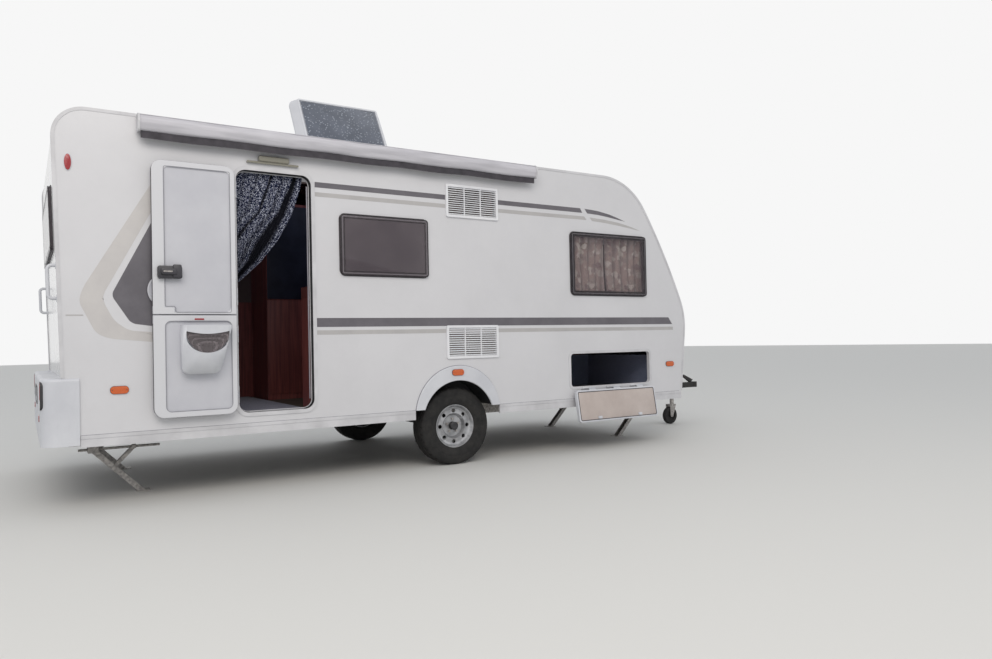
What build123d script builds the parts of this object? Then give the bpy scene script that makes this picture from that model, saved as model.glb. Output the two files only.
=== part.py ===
from build123d import *
import math
import os

# Touring caravan on a single axle, parked on its steadies and jockey wheel.
# Millimetres. X runs forward to the coupling, Y to the left, Z up from the ground.
# Everything is drawn with X = 0 at the rear wall and Y = 0 at the middle of the body,
# and is shifted at the end so that the origin lies under the middle of the whole object.

# Body shell
body_width = 2300
wall = 32
floor_under = 480
roof_level = 2560
rear_foot_x = 15
rear_lean = 1.5
rear_roof_radius = 190
roof_front_x = 4450
nose_top_radius = 620
nose_top_turn = 57
nose_slope_turn = 9.8
nose_slope_radius = 5833
nose_bulge_radius = 655
nose_bulge_turn = 29.2
half_width = body_width / 2
floor_top = floor_under + wall

# Trim rails round the edges of the side walls
corner_rail_proud = 7
corner_rail_width = 30
corner_rail_lip = 3
corner_rail_overlap = 14
skirt_drop = 75
skirt_thick = 20
skirt_proud = 3
skirt_gap = 3

# Wheels and axle
axle_x = 2840
axle_z = 320
tyre_radius = 320
tyre_width = 190
rim_radius = 178
rim_width = 150
wheel_inset = 150
bead_half = rim_width / 2 - 6
bead_height = 14
bead_flare = 10
tyre_shoulder = [
    # down from the tread, in from the sidewall
    (34, 6),
    (9, 17),
    (2, 42),
]
rim_disc_out = 20
rim_section = [
    # in from the bead seat, out from the wheel's middle plane
    (0, 75), (0, 67), (16, 49), (16, -49), (0, -67), (0, -75),
    (5, -75), (21, -49), (21, 26), (40, 40), (68, 44), (86, 20), (144, 20),
    (144, 26), (90, 26), (72, 52), (38, 48), (21, 53), (5, 75),
]
rim_hole_count = 8
rim_hole_circle = 128
rim_hole_radius = 17
hub_seat_radius = 60
hub_radius = 33
hub_height = 34
wheel_middle_y = half_width - wheel_inset
hub_bore = 21
stub_radius = 20
drum_radius = 116
drum_depth = 70
beam_ahead = 165
beam_z = 290
beam_radius = 45
arm_thick = 26
arm_gap = 18
arm_root_radius = 50
arm_tip_radius = 40
arm_waist = 5
beam_seat = 70
arch_radius = 385
arch_inner_radius = 400
wheel_box_wall = 12
wheel_box_depth = 280
arch_trim_radius = 399
arch_trim_z = 426
arch_trim_hole_radius = 336
arch_trim_hole_z = 366
arch_trim_proud = 14
arch_trim_round = 6

# Entrance door, open flat against the wall
door_x0 = 1075
door_x1 = 1615
door_z0 = 555
door_z1 = 2270
door_corner = 70
door_gap = 5
door_split_z = 1240
door_split_gap = 8
door_lining = 12
door_flange = 27
door_flange_proud = 7
door_recess = 8
door_recess_lock_rim = 75
door_recess_hinge_rim = 36
door_recess_end_rim = 40
door_recess_split_rim = 14
door_recess_ease = 5
door_edge_round = 4
door_notch_length = 60
door_notch_height = 34
door_notch_corner = 10
door_recess_corner = 36
hinge_out = 18
hinge_back = 9
hinge_radius = 8
hinge_pin_radius = 4
hinge_knuckle = 40
door_hinge_arm = 50
door_hinge_clear = 2.5
pin_clearance = 0.4
door_open_angle = 180
lock_x0 = 1435
lock_x1 = 1580
lock_z0 = 1480
lock_z1 = 1560
lock_thick = 34
lock_corner = 13
lock_knob_x0 = 1470
lock_knob_x1 = 1560
lock_knob_z0 = 1505
lock_knob_z1 = 1540
lock_knob_proud = 18
outer_handle_thick = 20
outer_handle_x = 1508
outer_handle_z = 1404
outer_handle_radius = 100

# Waste bin on the lower door leaf, in the place it has when the door is shut
bin_x0 = 1140
bin_x1 = 1430
bin_foot_x0 = 1226
bin_foot_x1 = 1412
bin_z0 = 845
bin_z1 = 1170
bin_depth = 92
bin_foot_depth = 64
bin_front_height = 75
bin_skin = 8
bin_corner = 26
bin_foot_corner = 40
bin_mouth_x0 = 1166
bin_mouth_x1 = 1406
bin_mouth_z = 1130
bin_mouth_top_sag = 20
bin_mouth_low_sag = 146

# Lamp above the door
door_lamp_x0 = 1150
door_lamp_x1 = 1520
door_lamp_above_door = 52
door_lamp_base_height = 14
door_lamp_base_proud = 22
door_lamp_box_x0 = 1230
door_lamp_box_x1 = 1449
door_lamp_height = 56
door_lamp_proud = 34

# Windows: outer frame sizes
window_frame = 24
window_corner = 48
window_frame_proud = 4
window_pane_thick = 16
window_pane_inset = 7
right_windows = [
    # x0, x1, z0, z1
    (1827, 2582, 1538, 2016),
    (4032, 4972, 1422, 2013),
]
left_windows = [
    # x0, x1, z0, z1
    (330, 1030, 1560, 2016),
    (2450, 3350, 1422, 2013),
    (4032, 4972, 1422, 2013),
]
rear_window = (-720, 720, 1690, 2140)
front_window = (-820, 820, 1480, 2030)

# Refrigerator vents on the right wall
vent_thick = 14
vent_border = 26
vent_slat_thick = 4
vent_slat_pitch = 17
vent_slat_depth = 16
vent_slat_tilt = 32
vent_lap = 6
vent_post_half = 4
vents = [
    # x0, x1, z0, z1
    (2749, 3255, 2053, 2325),
    (2733, 3235, 883, 1157),
]

# Storage hatch on the right wall, its flap hanging down
hatch_x0 = 4011
hatch_x1 = 5000
hatch_z0 = 579
hatch_z1 = 897
hatch_corner = 40
hatch_gap = 5
hatch_lining = 8
hatch_frame_knuckles = (0.12, 0.42, 0.72)
hatch_flap_knuckles = (0.20, 0.50, 0.80)
hatch_knuckle_share = 0.08
hatch_hinge_arm = 40
latch_down = 34
latch_plates = [
    # half length, half height, from, to
    (28, 16, -8, -2),
    (20, 12, wall - 4, wall + 10),
]
hatch_flange = 16
hatch_flange_proud = 4
hatch_hinge_out = 15
hatch_hinge_drop = 9
hatch_hinge_radius = 6
hatch_hang_angle = 10
hatch_pin_radius = 2.5

# Gas locker in the nose
gas_half_width = 700
gas_z0 = 545
gas_z1 = 1040
gas_gap = 5
gas_hinge_out = 14
gas_hinge_up = 12
gas_hinge_radius = 7
gas_box_depth = 275
gas_box_gap = 2
gas_box_above = 30
gas_box_beyond = 20
gas_box_wall = 12
gas_hinge_y = 480
gas_hinge_arm = 28
gas_arm_top = 20
gas_arm_foot = 80
gas_hinge_plate = 28
gas_hinge_offset = 44
gas_pin_radius = 3
gas_handle_half = 70
gas_handle_height = 26
gas_handle_up = 40

# Rooflight, its lid open
light_x0 = 1804
light_x1 = 2652
light_half_width = 340
light_hole_inset = 60
light_kerb_height = 45
light_kerb_wall = 22
light_lid_far_gap = 9
light_lid_rim = 18
light_lid_rise = 66
light_lid_taper = 36
light_lid_wall = 12
light_lid_corner = 70
light_pane_thick = 6
light_pane_lap = 9
light_open_angle = 60
light_hinge_radius = 7
light_hinge_from_end = 168
light_pin_radius = 3
light_arm_half = 18
light_lug_shift = 32
light_lug_half = 12
light_hole_corner = 40
light_flange_lap = 30
light_flange_thick = 8
light_seal_gap = 6

# Awning bag along the right edge of the roof
awning_x0 = 445
awning_x1 = 3620
awning_rail_thick = 6
awning_depth = 105
awning_section = [
    # out from the wall, down from the roof
    (awning_rail_thick, 5),
    (85, 12),
    (awning_depth, 60),
    (85, 120),
    (awning_rail_thick, 110),
]
awning_round = 16
awning_cap_thick = 12
awning_cap_lip = 4
awning_cap_gap = 0.3
awning_rail_from_roof = 43
awning_rail_height = 54

# Rear bumper, lamps and handles
bumper_rear_x = -112
bumper_front_x = 100
bumper_z0 = 420
bumper_z1 = 845
bumper_side = 12
bumper_corner = 95
bumper_round = 22
bumper_skin = 9
plate_seat_length = 530
plate_seat_height = 120
plate_seat_up = 136
plate_seat_proud = 2
tail_lamp_z0 = 650
tail_lamp_z1 = 826
tail_lamp_inset = 30
tail_lamp_width = 160
tail_lamp_corner = 28
tail_lamp_depth = 30
tail_lamp_proud = 3
side_lamp_proud = 11
side_lamp_corner = 18
side_lamp_z0 = 731
side_lamp_z1 = 783
side_lamp_half_length = 55
side_lamp_rear_x = 326
side_lamp_front_x = 5270
arch_lamp_x = 2826
arch_lamp_z0 = 752
arch_lamp_z1 = 794
marker_x = 50
marker_z = 2205
marker_half_width = 24
marker_half_height = 56
marker_proud = 9
handle_radius = 11
handle_reach = 52
handle_inset = 100
handle_y = half_width - handle_inset
handle_z0 = 1350
handle_z1 = 1560

# Coupling and overrun device
coupling_z = 430
overrun_half_width = 62
overrun_z0 = 386
draw_tube_radius = 28
draw_tube_beyond = 60
draw_tube_short = 150
bellows_radius = 42
bellows_crest = 0.55
bellows_fold_depth = 8
bellows_folds = 7
ball_x = 6840
coupling_grip_length = 230
bellows_length = 190
overrun_length = 340
bellows_x1 = ball_x - coupling_grip_length
overrun_x1 = bellows_x1 - bellows_length
overrun_x0 = overrun_x1 - overrun_length
rail_nose_back = 20
rail_nose_x = overrun_x1 - rail_nose_back
ball_socket_radius = 25.2
ball_socket_depth = 30
coupling_height = 66
coupling_nose = 46
coupling_half = 33
coupling_handle = [
    # behind the ball, above its middle
    (60, 31),
    (20, 62),
    (170, 128),
    (182, 108),
]
coupling_handle_half = 17
brake_lever_back = 190
brake_lever_x = overrun_x1 - brake_lever_back
brake_lever_length = 340
brake_lever_y = 40
brake_lever_radius = 11
brake_seat_half = 35
brake_lever_angle = 25

# Chassis: rails that bend inwards to the drawbar
rail_y = 600
rail_z0 = 355
rail_web = 5
member_depth = 95
member_web = 5
outrigger_half_width = 40
outrigger_beyond = 60
rail_flange = 45
rail_rear_x = 60
rail_bend_x = 3900
rail_nose_y = 85
cross_members = [
    # middle x, width along x
    (150, 50),
    (1500, 50),
    (4300, 50),
]

# Jockey wheel
jockey_back = 120
jockey_x = overrun_x1 - jockey_back
jockey_y = -160
jockey_wheel_radius = 100
jockey_wheel_width = 50
jockey_tread_round = 14
jockey_dish_radius = 62
jockey_dish_depth = 12
jockey_hub_radius = 20
jockey_trail = 38
jockey_outer_radius = 30
jockey_inner_radius = 24
jockey_tube_clearance = 0.4
jockey_tube_z0 = 415
jockey_tube_z1 = 860
jockey_inner_z0 = 232
jockey_inner_z1 = 680
jockey_stem_radius = 12
jockey_stem_length = 28
jockey_fork_gap = 6
jockey_fork_plate = 6
jockey_crank_reach = 95
jockey_crank_rise = 26
jockey_crank_radius = 9
jockey_crank_thick = 8
jockey_grip_length = 62
jockey_cap = 12
jockey_clamp_half = 44
jockey_clamp_height = 50
jockey_screw_radius = 7
jockey_fork_back = 26
jockey_fork_front = 30
jockey_fork_tip_half = 18
jockey_fork_tip_down = 16
jockey_pin_radius = 7

# Corner steadies: leg, strut and spindle
steady_y = 585
steady_rear_foot_x = 525
steady_front_foot_x = 5050
steady_reach = 315
steady_pivot_z = 322
steady_link = 185
steady_leg_half_width = 30
steady_leg_plate = 4
steady_leg_below = 22
steady_leg_above = 14
steady_foot_half = 48
steady_foot_thick = 6
steady_strut_half_width = 22
steady_strut_plate = 4
steady_strut_depth = 24
steady_pin_radius = 5
steady_web_start = 14
steady_spindle_radius = 9
steady_spindle_end = 92
steady_pivot_radius = 7
steady_eye_radius = 22
steady_eye_room = 46
steady_bracket_half = 34
steady_nut_half = 14
steady_spindle_beyond = 60

# Cabinets, beds and curtains inside
cabinet_gap = 3
cabinet_front_y = 560
cabinet_board = 15
cabinet_units = [
    # side (-1 right, 1 left), x0, x1, top z
    (-1, 1720, 2690, 1400),
    (-1, 2700, 3300, 2380),
    (1, 1750, 2350, 2380),
    (1, 2360, 3600, 950),
]
bed_board = 15
front_bed_x0 = 3950
front_bed_top = 920
rear_bed_x0 = 60
rear_bed_x1 = 800
mattress_inset = 15
rear_bed_top = 900
mattress_thick = 120
mattress_gap = 0.3
curtain_thick = 26
curtain_top_gap = 0.3
curtain_rail_height = 14
curtain_above_door = 20
door_curtain_top = door_z1 + curtain_above_door
door_curtain_edge = [
    # x ahead of the doorway's rear edge, z below the curtain's top, down the front edge and back up
    (-15, 0), (565, 0), (500, 90), (425, 260), (305, 470), (155, 650), (15, 790), (-35, 850),
    (-15, 990), (-15, 1530), (-115, 1530), (-115, 990), (-75, 850), (-65, 790), (-15, 650), (-15, 0),
]
door_curtain_off_wall = 20
window_curtain_off_wall = 14
window_curtain_above = 30
window_curtain_beyond = 20

tilt_of_leg = math.degrees(math.atan2(steady_pivot_z, steady_reach))


def block(x0, x1, y0, y1, z0, z1):
    middle = ((x0 + x1) / 2, (y0 + y1) / 2, (z0 + z1) / 2)
    return Pos(*middle) * Box(abs(x1 - x0), abs(y1 - y0), abs(z1 - z0))


def along_y(sketch, y0, y1):
    # The sketch's own x and y become X and Z
    plane = Plane(origin=(0, y1, 0), x_dir=(1, 0, 0), z_dir=(0, -1, 0))
    return extrude(plane * sketch, amount=y1 - y0)


def along_x(sketch, x0, x1):
    # The sketch's own x and y become Y and Z
    plane = Plane(origin=(x0, 0, 0), x_dir=(0, 1, 0), z_dir=(1, 0, 0))
    return extrude(plane * sketch, amount=x1 - x0)


def rounded(a0, a1, b0, b1, radius):
    middle = ((a0 + a1) / 2, (b0 + b1) / 2)
    return Pos(*middle) * RectangleRounded(a1 - a0, b1 - b0, radius)


def rod(start, end, radius):
    a = Vector(*start)
    b = Vector(*end)
    plane = Plane(origin=a, z_dir=b - a)
    return extrude(plane * Circle(radius), amount=(b - a).length)


def mirrored(shape):
    return shape.mirror(Plane.XZ)


def turned(shape, point, direction, angle):
    return shape.rotate(Axis(point, direction), angle)


# Side profile of the body
def side_profile():
    lean = math.radians(rear_lean)
    rise = roof_level - rear_roof_radius * (1 + math.sin(lean)) - floor_under
    foot = (rear_foot_x, floor_under)
    shoulder = (rear_foot_x - rise * math.tan(lean), floor_under + rise)
    rear = Line(foot, shoulder)
    rear_arc = JernArc(shoulder, rear % 1, rear_roof_radius, -(90 + rear_lean))
    roof = Line(rear_arc @ 1, (roof_front_x, roof_level))
    nose_top = JernArc(roof @ 1, roof % 1, nose_top_radius, -nose_top_turn)
    nose_slope = JernArc(nose_top @ 1, nose_top % 1, nose_slope_radius, -nose_slope_turn)
    bulge = JernArc(nose_slope @ 1, nose_slope % 1, nose_bulge_radius, -nose_bulge_turn)
    end = bulge @ 1
    heading = bulge % 1
    run = (end.Y - floor_under) / -heading.Y
    low = Line(end, (end.X + heading.X * run, floor_under))
    base = Line(low @ 1, foot)
    return make_face([rear, rear_arc, roof, nose_top, nose_slope, bulge, low, base])


profile = side_profile()
inner_profile = offset(profile, amount=-wall)
skin = profile - inner_profile
lean_shift = math.tan(math.radians(rear_lean)) * (roof_level - floor_under)
roof_rear_x = rear_foot_x - lean_shift + rear_roof_radius + 10
inner_half = half_width - wall
far = 9000
behind_rear = -400
ahead_of_rear = 300
above_roof = roof_level + 10


def skin_part(x0, x1, z0, z1, y_half=inner_half, ring=None):
    ring = skin if ring is None else ring
    window = Pos((x0 + x1) / 2, (z0 + z1) / 2) * Rectangle(x1 - x0, z1 - z0)
    return along_y(ring & window, -y_half, y_half)


def save(name, shape):
    moved = Pos(-centre_x, -centre_y, 0) * shape
    export_step(moved, f"parts/{name}.step")


# Reach of the whole object, which places the origin
reach_front = ball_x + coupling_nose
reach_rear = bumper_rear_x - tail_lamp_proud
awning_out = half_width + awning_depth + awning_cap_lip
door_out = half_width + 2 * hinge_out + wall + bin_depth
left_out = half_width + arch_trim_proud + side_lamp_proud
reach_right = max(awning_out, door_out)
centre_x = (reach_front + reach_rear) / 2
centre_y = (left_out - reach_right) / 2


# Right and left side walls
def wheel_arch(radius):
    return along_y(Pos(axle_x, axle_z) * Circle(radius), -far, far)


def side_wall(side, windows):
    outer = side * half_width
    inner = side * inner_half
    wall_body = along_y(profile, min(outer, inner), max(outer, inner))
    wall_body -= wheel_arch(arch_radius)
    for x0, x1, z0, z1 in windows:
        opening = rounded(x0, x1, z0, z1, window_corner)
        wall_body -= along_y(opening, min(outer, inner) - 1, max(outer, inner) + 1)
    return wall_body


def right_wall():
    body = side_wall(-1, right_windows)
    cutters = [
        rounded(door_x0 - door_lining, door_x1 + door_lining,
                door_z0 - door_lining, door_z1 + door_lining, door_corner + door_lining),
        rounded(hatch_x0, hatch_x1, hatch_z0, hatch_z1, hatch_corner),
    ]
    for x0, x1, z0, z1 in vents:
        cutters.append(rounded(x0 + vent_border, x1 - vent_border,
                               z0 + vent_border, z1 - vent_border, 10))
    for cutter in cutters:
        body -= along_y(cutter, -half_width - 1, -inner_half + 1)
    return body


# Rear, roof, front and floor panels
def rear_wall():
    panel = skin_part(behind_rear, roof_rear_x, floor_top, above_roof)
    y0, y1, z0, z1 = rear_window
    return panel - along_x(rounded(y0, y1, z0, z1, window_corner), behind_rear, ahead_of_rear)


def roof_panel():
    panel = skin_part(roof_rear_x, roof_front_x, floor_top, above_roof)
    hole = rounded(light_x0 + light_hole_inset, light_x1 - light_hole_inset,
                   -light_half_width + light_hole_inset, light_half_width - light_hole_inset,
                   light_hole_corner)
    return panel - extrude(Plane.XY.offset(roof_level - 2 * wall) * hole, amount=3 * wall)


def gas_opening(margin):
    return along_x(rounded(-gas_half_width - margin, gas_half_width + margin,
                           gas_z0 - margin, gas_z1 + margin, 40), roof_front_x, far)


def front_wall():
    panel = skin_part(roof_front_x, far, floor_top, above_roof)
    y0, y1, z0, z1 = front_window
    panel -= along_x(rounded(y0, y1, z0, z1, 2 * window_corner), roof_front_x, far)
    return panel - gas_opening(gas_gap)


def floor_panel():
    panel = skin_part(behind_rear, far, floor_under - wall, floor_top)
    for side in (-1, 1):
        panel -= arch_prism(side, arch_inner_radius + wheel_box_wall, wheel_box_depth + wheel_box_wall)
    return panel


def arch_prism(side, radius, depth):
    outer = side * inner_half
    inner = side * (inner_half - depth)
    return along_y(Pos(axle_x, axle_z) * Circle(radius), min(outer, inner), max(outer, inner))


def wheel_boxes():
    boxes = []
    for side in (-1, 1):
        shell = arch_prism(side, arch_inner_radius + wheel_box_wall, wheel_box_depth + wheel_box_wall)
        shell -= arch_prism(side, arch_inner_radius, wheel_box_depth)
        shell &= block(0, far, -half_width, half_width, floor_under, roof_level)
        boxes.append(shell)
    return boxes[0] + boxes[1]


# Trim rails that cover the joints of the panels
def above(z):
    return Pos(axle_x, z + far / 2) * Rectangle(2 * far, far)


def corner_rails():
    outer = offset(profile, amount=corner_rail_proud)
    band = (outer - profile) & above(floor_under)
    lip = outer - offset(profile, amount=-corner_rail_overlap)
    lip &= above(floor_under + corner_rail_overlap + 1)
    rails = []
    for side in (-1, 1):
        y_out = side * (half_width + corner_rail_lip)
        y_wall = side * half_width
        y_in = side * (half_width - corner_rail_width)
        rail = along_y(band, min(y_out, y_in), max(y_out, y_in))
        rail += along_y(lip, min(y_out, y_wall), max(y_out, y_wall))
        rails.append(rail)
    behind_bumper = block(behind_rear, bumper_front_x + 1, -far, far, 0, bumper_z1)
    return rails[0] + rails[1] - behind_bumper


def skirt_rails():
    base_end = profile.bounding_box().max.X
    gap_half = arch_trim_radius
    rails = Part()
    for side in (-1, 1):
        y_out = side * (half_width + skirt_proud)
        y_in = side * (half_width + skirt_proud - skirt_thick)
        for x0, x1 in ((bumper_front_x + skirt_gap, axle_x - gap_half),
                       (axle_x + gap_half, base_end - 70)):
            bar = block(x0, x1, y_in, y_out, floor_under - skirt_drop, floor_under)
            groove_z = floor_under - skirt_drop / 3
            bar -= block(x0 - 1, x1 + 1, y_out - side * 3, y_out + side * 3, groove_z - 3, groove_z + 3)
            rails += bar
    return rails


def wheel_arch_trims():
    outer = Pos(axle_x, arch_trim_z) * Circle(arch_trim_radius)
    hole = Pos(axle_x, arch_trim_hole_z) * Circle(arch_trim_hole_radius)
    band = (outer & above(floor_under)) - hole
    trims = Part()
    for side in (-1, 1):
        y_wall = side * half_width
        y_out = side * (half_width + arch_trim_proud)
        trim = along_y(band, min(y_wall, y_out), max(y_wall, y_out))
        rim_edges = trim.edges().filter_by(GeomType.CIRCLE)
        outer_edges = [e for e in rim_edges if abs(e.center().Y - y_out) < 1]
        trims += fillet(outer_edges, arch_trim_round)
    return trims


# Windows
def frame_and_pane(x0, x1, z0, z1, side):
    corner = window_corner
    outer = rounded(x0, x1, z0, z1, corner)
    inner = rounded(x0 + window_frame, x1 - window_frame,
                    z0 + window_frame, z1 - window_frame, corner - window_frame / 2)
    pane = rounded(x0 + window_pane_inset, x1 - window_pane_inset,
                   z0 + window_pane_inset, z1 - window_pane_inset, corner - window_pane_inset)
    y_in = side * inner_half
    y_out = side * (half_width + window_frame_proud)
    y_pane = y_out + side * window_pane_thick
    frame = along_y(outer - inner, min(y_in, y_out), max(y_in, y_out))
    glass = along_y(pane, min(y_out, y_pane), max(y_out, y_pane))
    face = glass.faces().sort_by(Axis.Y)[-1 if side > 0 else 0]
    return frame, chamfer(face.edges(), window_pane_thick * 0.6)


def end_frame_and_pane(opening, x0, x1, corner):
    y0, y1, z0, z1 = opening
    outer = along_x(rounded(y0, y1, z0, z1, corner), x0, x1)
    inner = along_x(rounded(y0 + window_frame, y1 - window_frame, z0 + window_frame,
                            z1 - window_frame, corner - window_frame / 2), x0, x1)
    pane = along_x(rounded(y0 + window_pane_inset, y1 - window_pane_inset, z0 + window_pane_inset,
                           z1 - window_pane_inset, corner - window_pane_inset), x0, x1)
    proud = offset(profile, amount=window_frame_proud)
    outside = offset(profile, amount=window_frame_proud + window_pane_thick)
    frame_ring = along_y(proud - inner_profile, -inner_half, inner_half)
    pane_ring = along_y(outside - proud, -inner_half, inner_half)
    return frame_ring & (outer - inner), pane_ring & pane


def windows():
    frames = Part()
    panes = Part()
    for side, table in ((-1, right_windows), (1, left_windows)):
        for x0, x1, z0, z1 in table:
            frame, pane = frame_and_pane(x0, x1, z0, z1, side)
            frames += frame
            panes += pane
    ends = [
        # opening, x0, x1, corner
        (rear_window, behind_rear, ahead_of_rear, window_corner),
        (front_window, roof_front_x, far, 2 * window_corner),
    ]
    for opening, x0, x1, corner in ends:
        frame, pane = end_frame_and_pane(opening, x0, x1, corner)
        frames += frame
        panes += pane
    return frames, panes


# Refrigerator vents with sloping slats
def fridge_vents():
    grilles = Part()
    for x0, x1, z0, z1 in vents:
        border = vent_border - vent_lap
        ring = rounded(x0, x1, z0, z1, 14)
        ring -= rounded(x0 + border, x1 - border, z0 + border, z1 - border, 6)
        grille = along_y(ring, -half_width - vent_thick, -half_width)
        count = int((z1 - z0 - 2 * border) // vent_slat_pitch)
        pitch = (z1 - z0 - 2 * border) / count
        length = x1 - x0 - 2 * border + 4
        middle_x = (x0 + x1) / 2
        for index in range(count):
            z = z0 + border + pitch * (index + 0.5)
            slat = Box(length, vent_slat_depth, vent_slat_thick)
            grille += Pos(middle_x, -half_width - vent_thick / 2, z) * Rot(X=vent_slat_tilt) * slat
        for x in (middle_x - length / 6, middle_x + length / 6):
            grille += block(x - vent_post_half, x + vent_post_half, -half_width - vent_thick + 2, -half_width,
                            z0 + border, z1 - border)
        grilles += grille & block(x0, x1, -half_width - vent_thick, -half_width, z0, z1)
    return grilles


# Entrance door: frame, two leaves, hinges and waste bin
hinge_x = door_x0 - hinge_back
hinge_y = -half_width - hinge_out
leaf_x0 = door_x0 + door_gap
leaf_x1 = door_x1 - door_gap
hinge_levels = [
    # z of the knuckle's middle, leaf
    (door_z0 + 130, "lower"),
    (door_split_z - 130, "lower"),
    (door_split_z + 130, "upper"),
    (door_z1 - 150, "upper"),
]


def door_frame():
    x0, x1, z0, z1 = door_x0, door_x1, door_z0, door_z1
    hole = rounded(x0, x1, z0, z1, door_corner)
    lining = rounded(x0 - door_lining, x1 + door_lining,
                     z0 - door_lining, z1 + door_lining, door_corner + door_lining)
    flange = rounded(x0 - door_flange, x1 + door_flange,
                     z0 - door_flange, z1 + door_flange, door_corner + door_flange)
    frame = along_y(lining - hole, -half_width, -inner_half)
    frame += along_y(flange - hole, -half_width - door_flange_proud, -half_width)
    for z, leaf in hinge_levels:
        for shift in (-hinge_knuckle, hinge_knuckle):
            z_low = z + shift - hinge_knuckle / 2 + 1
            z_high = z + shift + hinge_knuckle / 2 - 1
            frame += rod((hinge_x, hinge_y, z_low), (hinge_x, hinge_y, z_high), hinge_radius)
            frame += block(hinge_x - hinge_radius, hinge_x + hinge_radius - 2,
                           hinge_y, -half_width - door_flange_proud + 1, z_low, z_high)
        frame += rod((hinge_x, hinge_y, z - hinge_knuckle), (hinge_x, hinge_y, z + hinge_knuckle),
                     hinge_pin_radius)
    return frame


def door_leaf(z0, z1, corners, name):
    # Drawn shut in its frame, with the moulded recess on its inner face
    leaf = along_y(Pos((leaf_x0 + leaf_x1) / 2, (z0 + z1) / 2) * Rectangle(leaf_x1 - leaf_x0, z1 - z0),
                   -half_width, -inner_half)
    cut_edges = leaf.edges().filter_by(Axis.Y).sort_by(Axis.Z)
    chosen = cut_edges[-2:] if corners == "top" else cut_edges[:2]
    leaf = fillet(chosen, door_corner - door_gap)
    inner_face = leaf.faces().sort_by(Axis.Y)[-1]
    leaf = fillet(inner_face.edges(), door_edge_round)
    low_rim = door_recess_split_rim if name == "upper" else door_recess_end_rim
    recess_x1 = leaf_x1 - door_recess_lock_rim
    recess_z0 = z0 + low_rim
    recess = rounded(leaf_x0 + door_recess_hinge_rim, recess_x1, recess_z0,
                     z1 - door_recess_end_rim, door_recess_corner)
    if name == "upper":
        notch_x0 = recess_x1 - door_notch_length
        recess -= rounded(notch_x0, leaf_x1, z0, recess_z0 + door_notch_height, door_notch_corner)
    leaf -= along_y(recess, -inner_half - door_recess, -inner_half + 1)
    rim_face = leaf.faces().sort_by(Axis.Y)[-1]
    leaf = chamfer(rim_face.inner_wires()[0].edges(), door_recess_ease)
    for z, owner in hinge_levels:
        if owner != name:
            continue
        half = hinge_knuckle / 2 - 1
        clear_of_frame = -half_width - door_flange_proud - door_hinge_clear
        arm = Polyline((hinge_x - hinge_radius, hinge_y), (hinge_x, hinge_y - hinge_radius),
                       (leaf_x0 + door_hinge_arm, -half_width - door_flange_proud - 3),
                       (leaf_x0 + door_hinge_arm, -half_width), (leaf_x0 + 2, -half_width),
                       (leaf_x0 + 2, clear_of_frame), (hinge_x, clear_of_frame),
                       (hinge_x - hinge_radius, hinge_y))
        plate = extrude(Plane.XY.offset(z - half) * make_face(arm), amount=2 * half)
        plate += rod((hinge_x, hinge_y, z - half), (hinge_x, hinge_y, z + half), hinge_radius)
        bore = hinge_pin_radius + pin_clearance
        leaf += plate
        leaf -= rod((hinge_x, hinge_y, z - half - 1), (hinge_x, hinge_y, z + half + 1), bore)
    return leaf


def door_leaves():
    lower = door_leaf(door_z0 + door_gap, door_split_z - door_split_gap / 2, "bottom", "lower")
    upper = door_leaf(door_split_z + door_split_gap / 2, door_z1 - door_gap, "top", "upper")
    lock_face = -inner_half + lock_thick
    lock = along_y(rounded(lock_x0, lock_x1, lock_z0, lock_z1, lock_corner), -inner_half, lock_face)
    lock += along_y(rounded(lock_knob_x0, lock_knob_x1, lock_knob_z0, lock_knob_z1, lock_corner),
                    lock_face, lock_face + lock_knob_proud)
    lock += along_y(Pos(outer_handle_x, outer_handle_z) * Circle(outer_handle_radius),
                    -half_width - outer_handle_thick, -half_width)
    return lower, upper + lock


def bin_block(inset, top):
    # Its front leans in and its sides close in towards the foot
    back = -inner_half - door_recess
    front = -inner_half + bin_depth - inset
    foot = back + bin_foot_depth - inset
    low = bin_z0 + inset
    knee = bin_z1 - bin_front_height
    side = make_face(Polyline((back + inset, low), (foot, low), (front, knee), (front, top),
                              (back + inset, top), (back + inset, low)))
    face = make_face(Polyline((bin_x0 + inset, top), (bin_foot_x0 + inset, low),
                              (bin_foot_x1 - inset, low), (bin_x1 - inset, top),
                              (bin_x0 + inset, top)))
    face = fillet(face.vertices().sort_by(Axis.Y)[:2], bin_foot_corner - inset)
    body = along_y(face, back, front + inset)
    return body & along_x(side, bin_x0, bin_x1)


def door_bin():
    body = bin_block(0, bin_z1)
    front = -inner_half + bin_depth
    upright = [e for e in body.edges() if e.center().Y > front - 2 and abs(e.tangent_at(0.5).Z) > 0.9]
    body = fillet(upright, bin_corner)
    body -= bin_block(bin_skin, bin_z1 + 1)
    middle = (bin_mouth_x0 + bin_mouth_x1) / 2
    low = ThreePointArc((bin_mouth_x0, bin_mouth_z), (middle, bin_mouth_z - bin_mouth_low_sag),
                        (bin_mouth_x1, bin_mouth_z))
    high = ThreePointArc((bin_mouth_x1, bin_mouth_z), (middle, bin_mouth_z - bin_mouth_top_sag),
                         (bin_mouth_x0, bin_mouth_z))
    mouth = make_face([low, high])
    return body - along_y(mouth, front - 2 * bin_corner, front + 1)


def open_door(shape):
    return turned(shape, (hinge_x, hinge_y, 0), (0, 0, 1), -door_open_angle)


# Storage hatch: frame and flap
hatch_hinge_y = -half_width - hatch_hinge_out
hatch_hinge_z = hatch_z0 - hatch_hinge_drop


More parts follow.
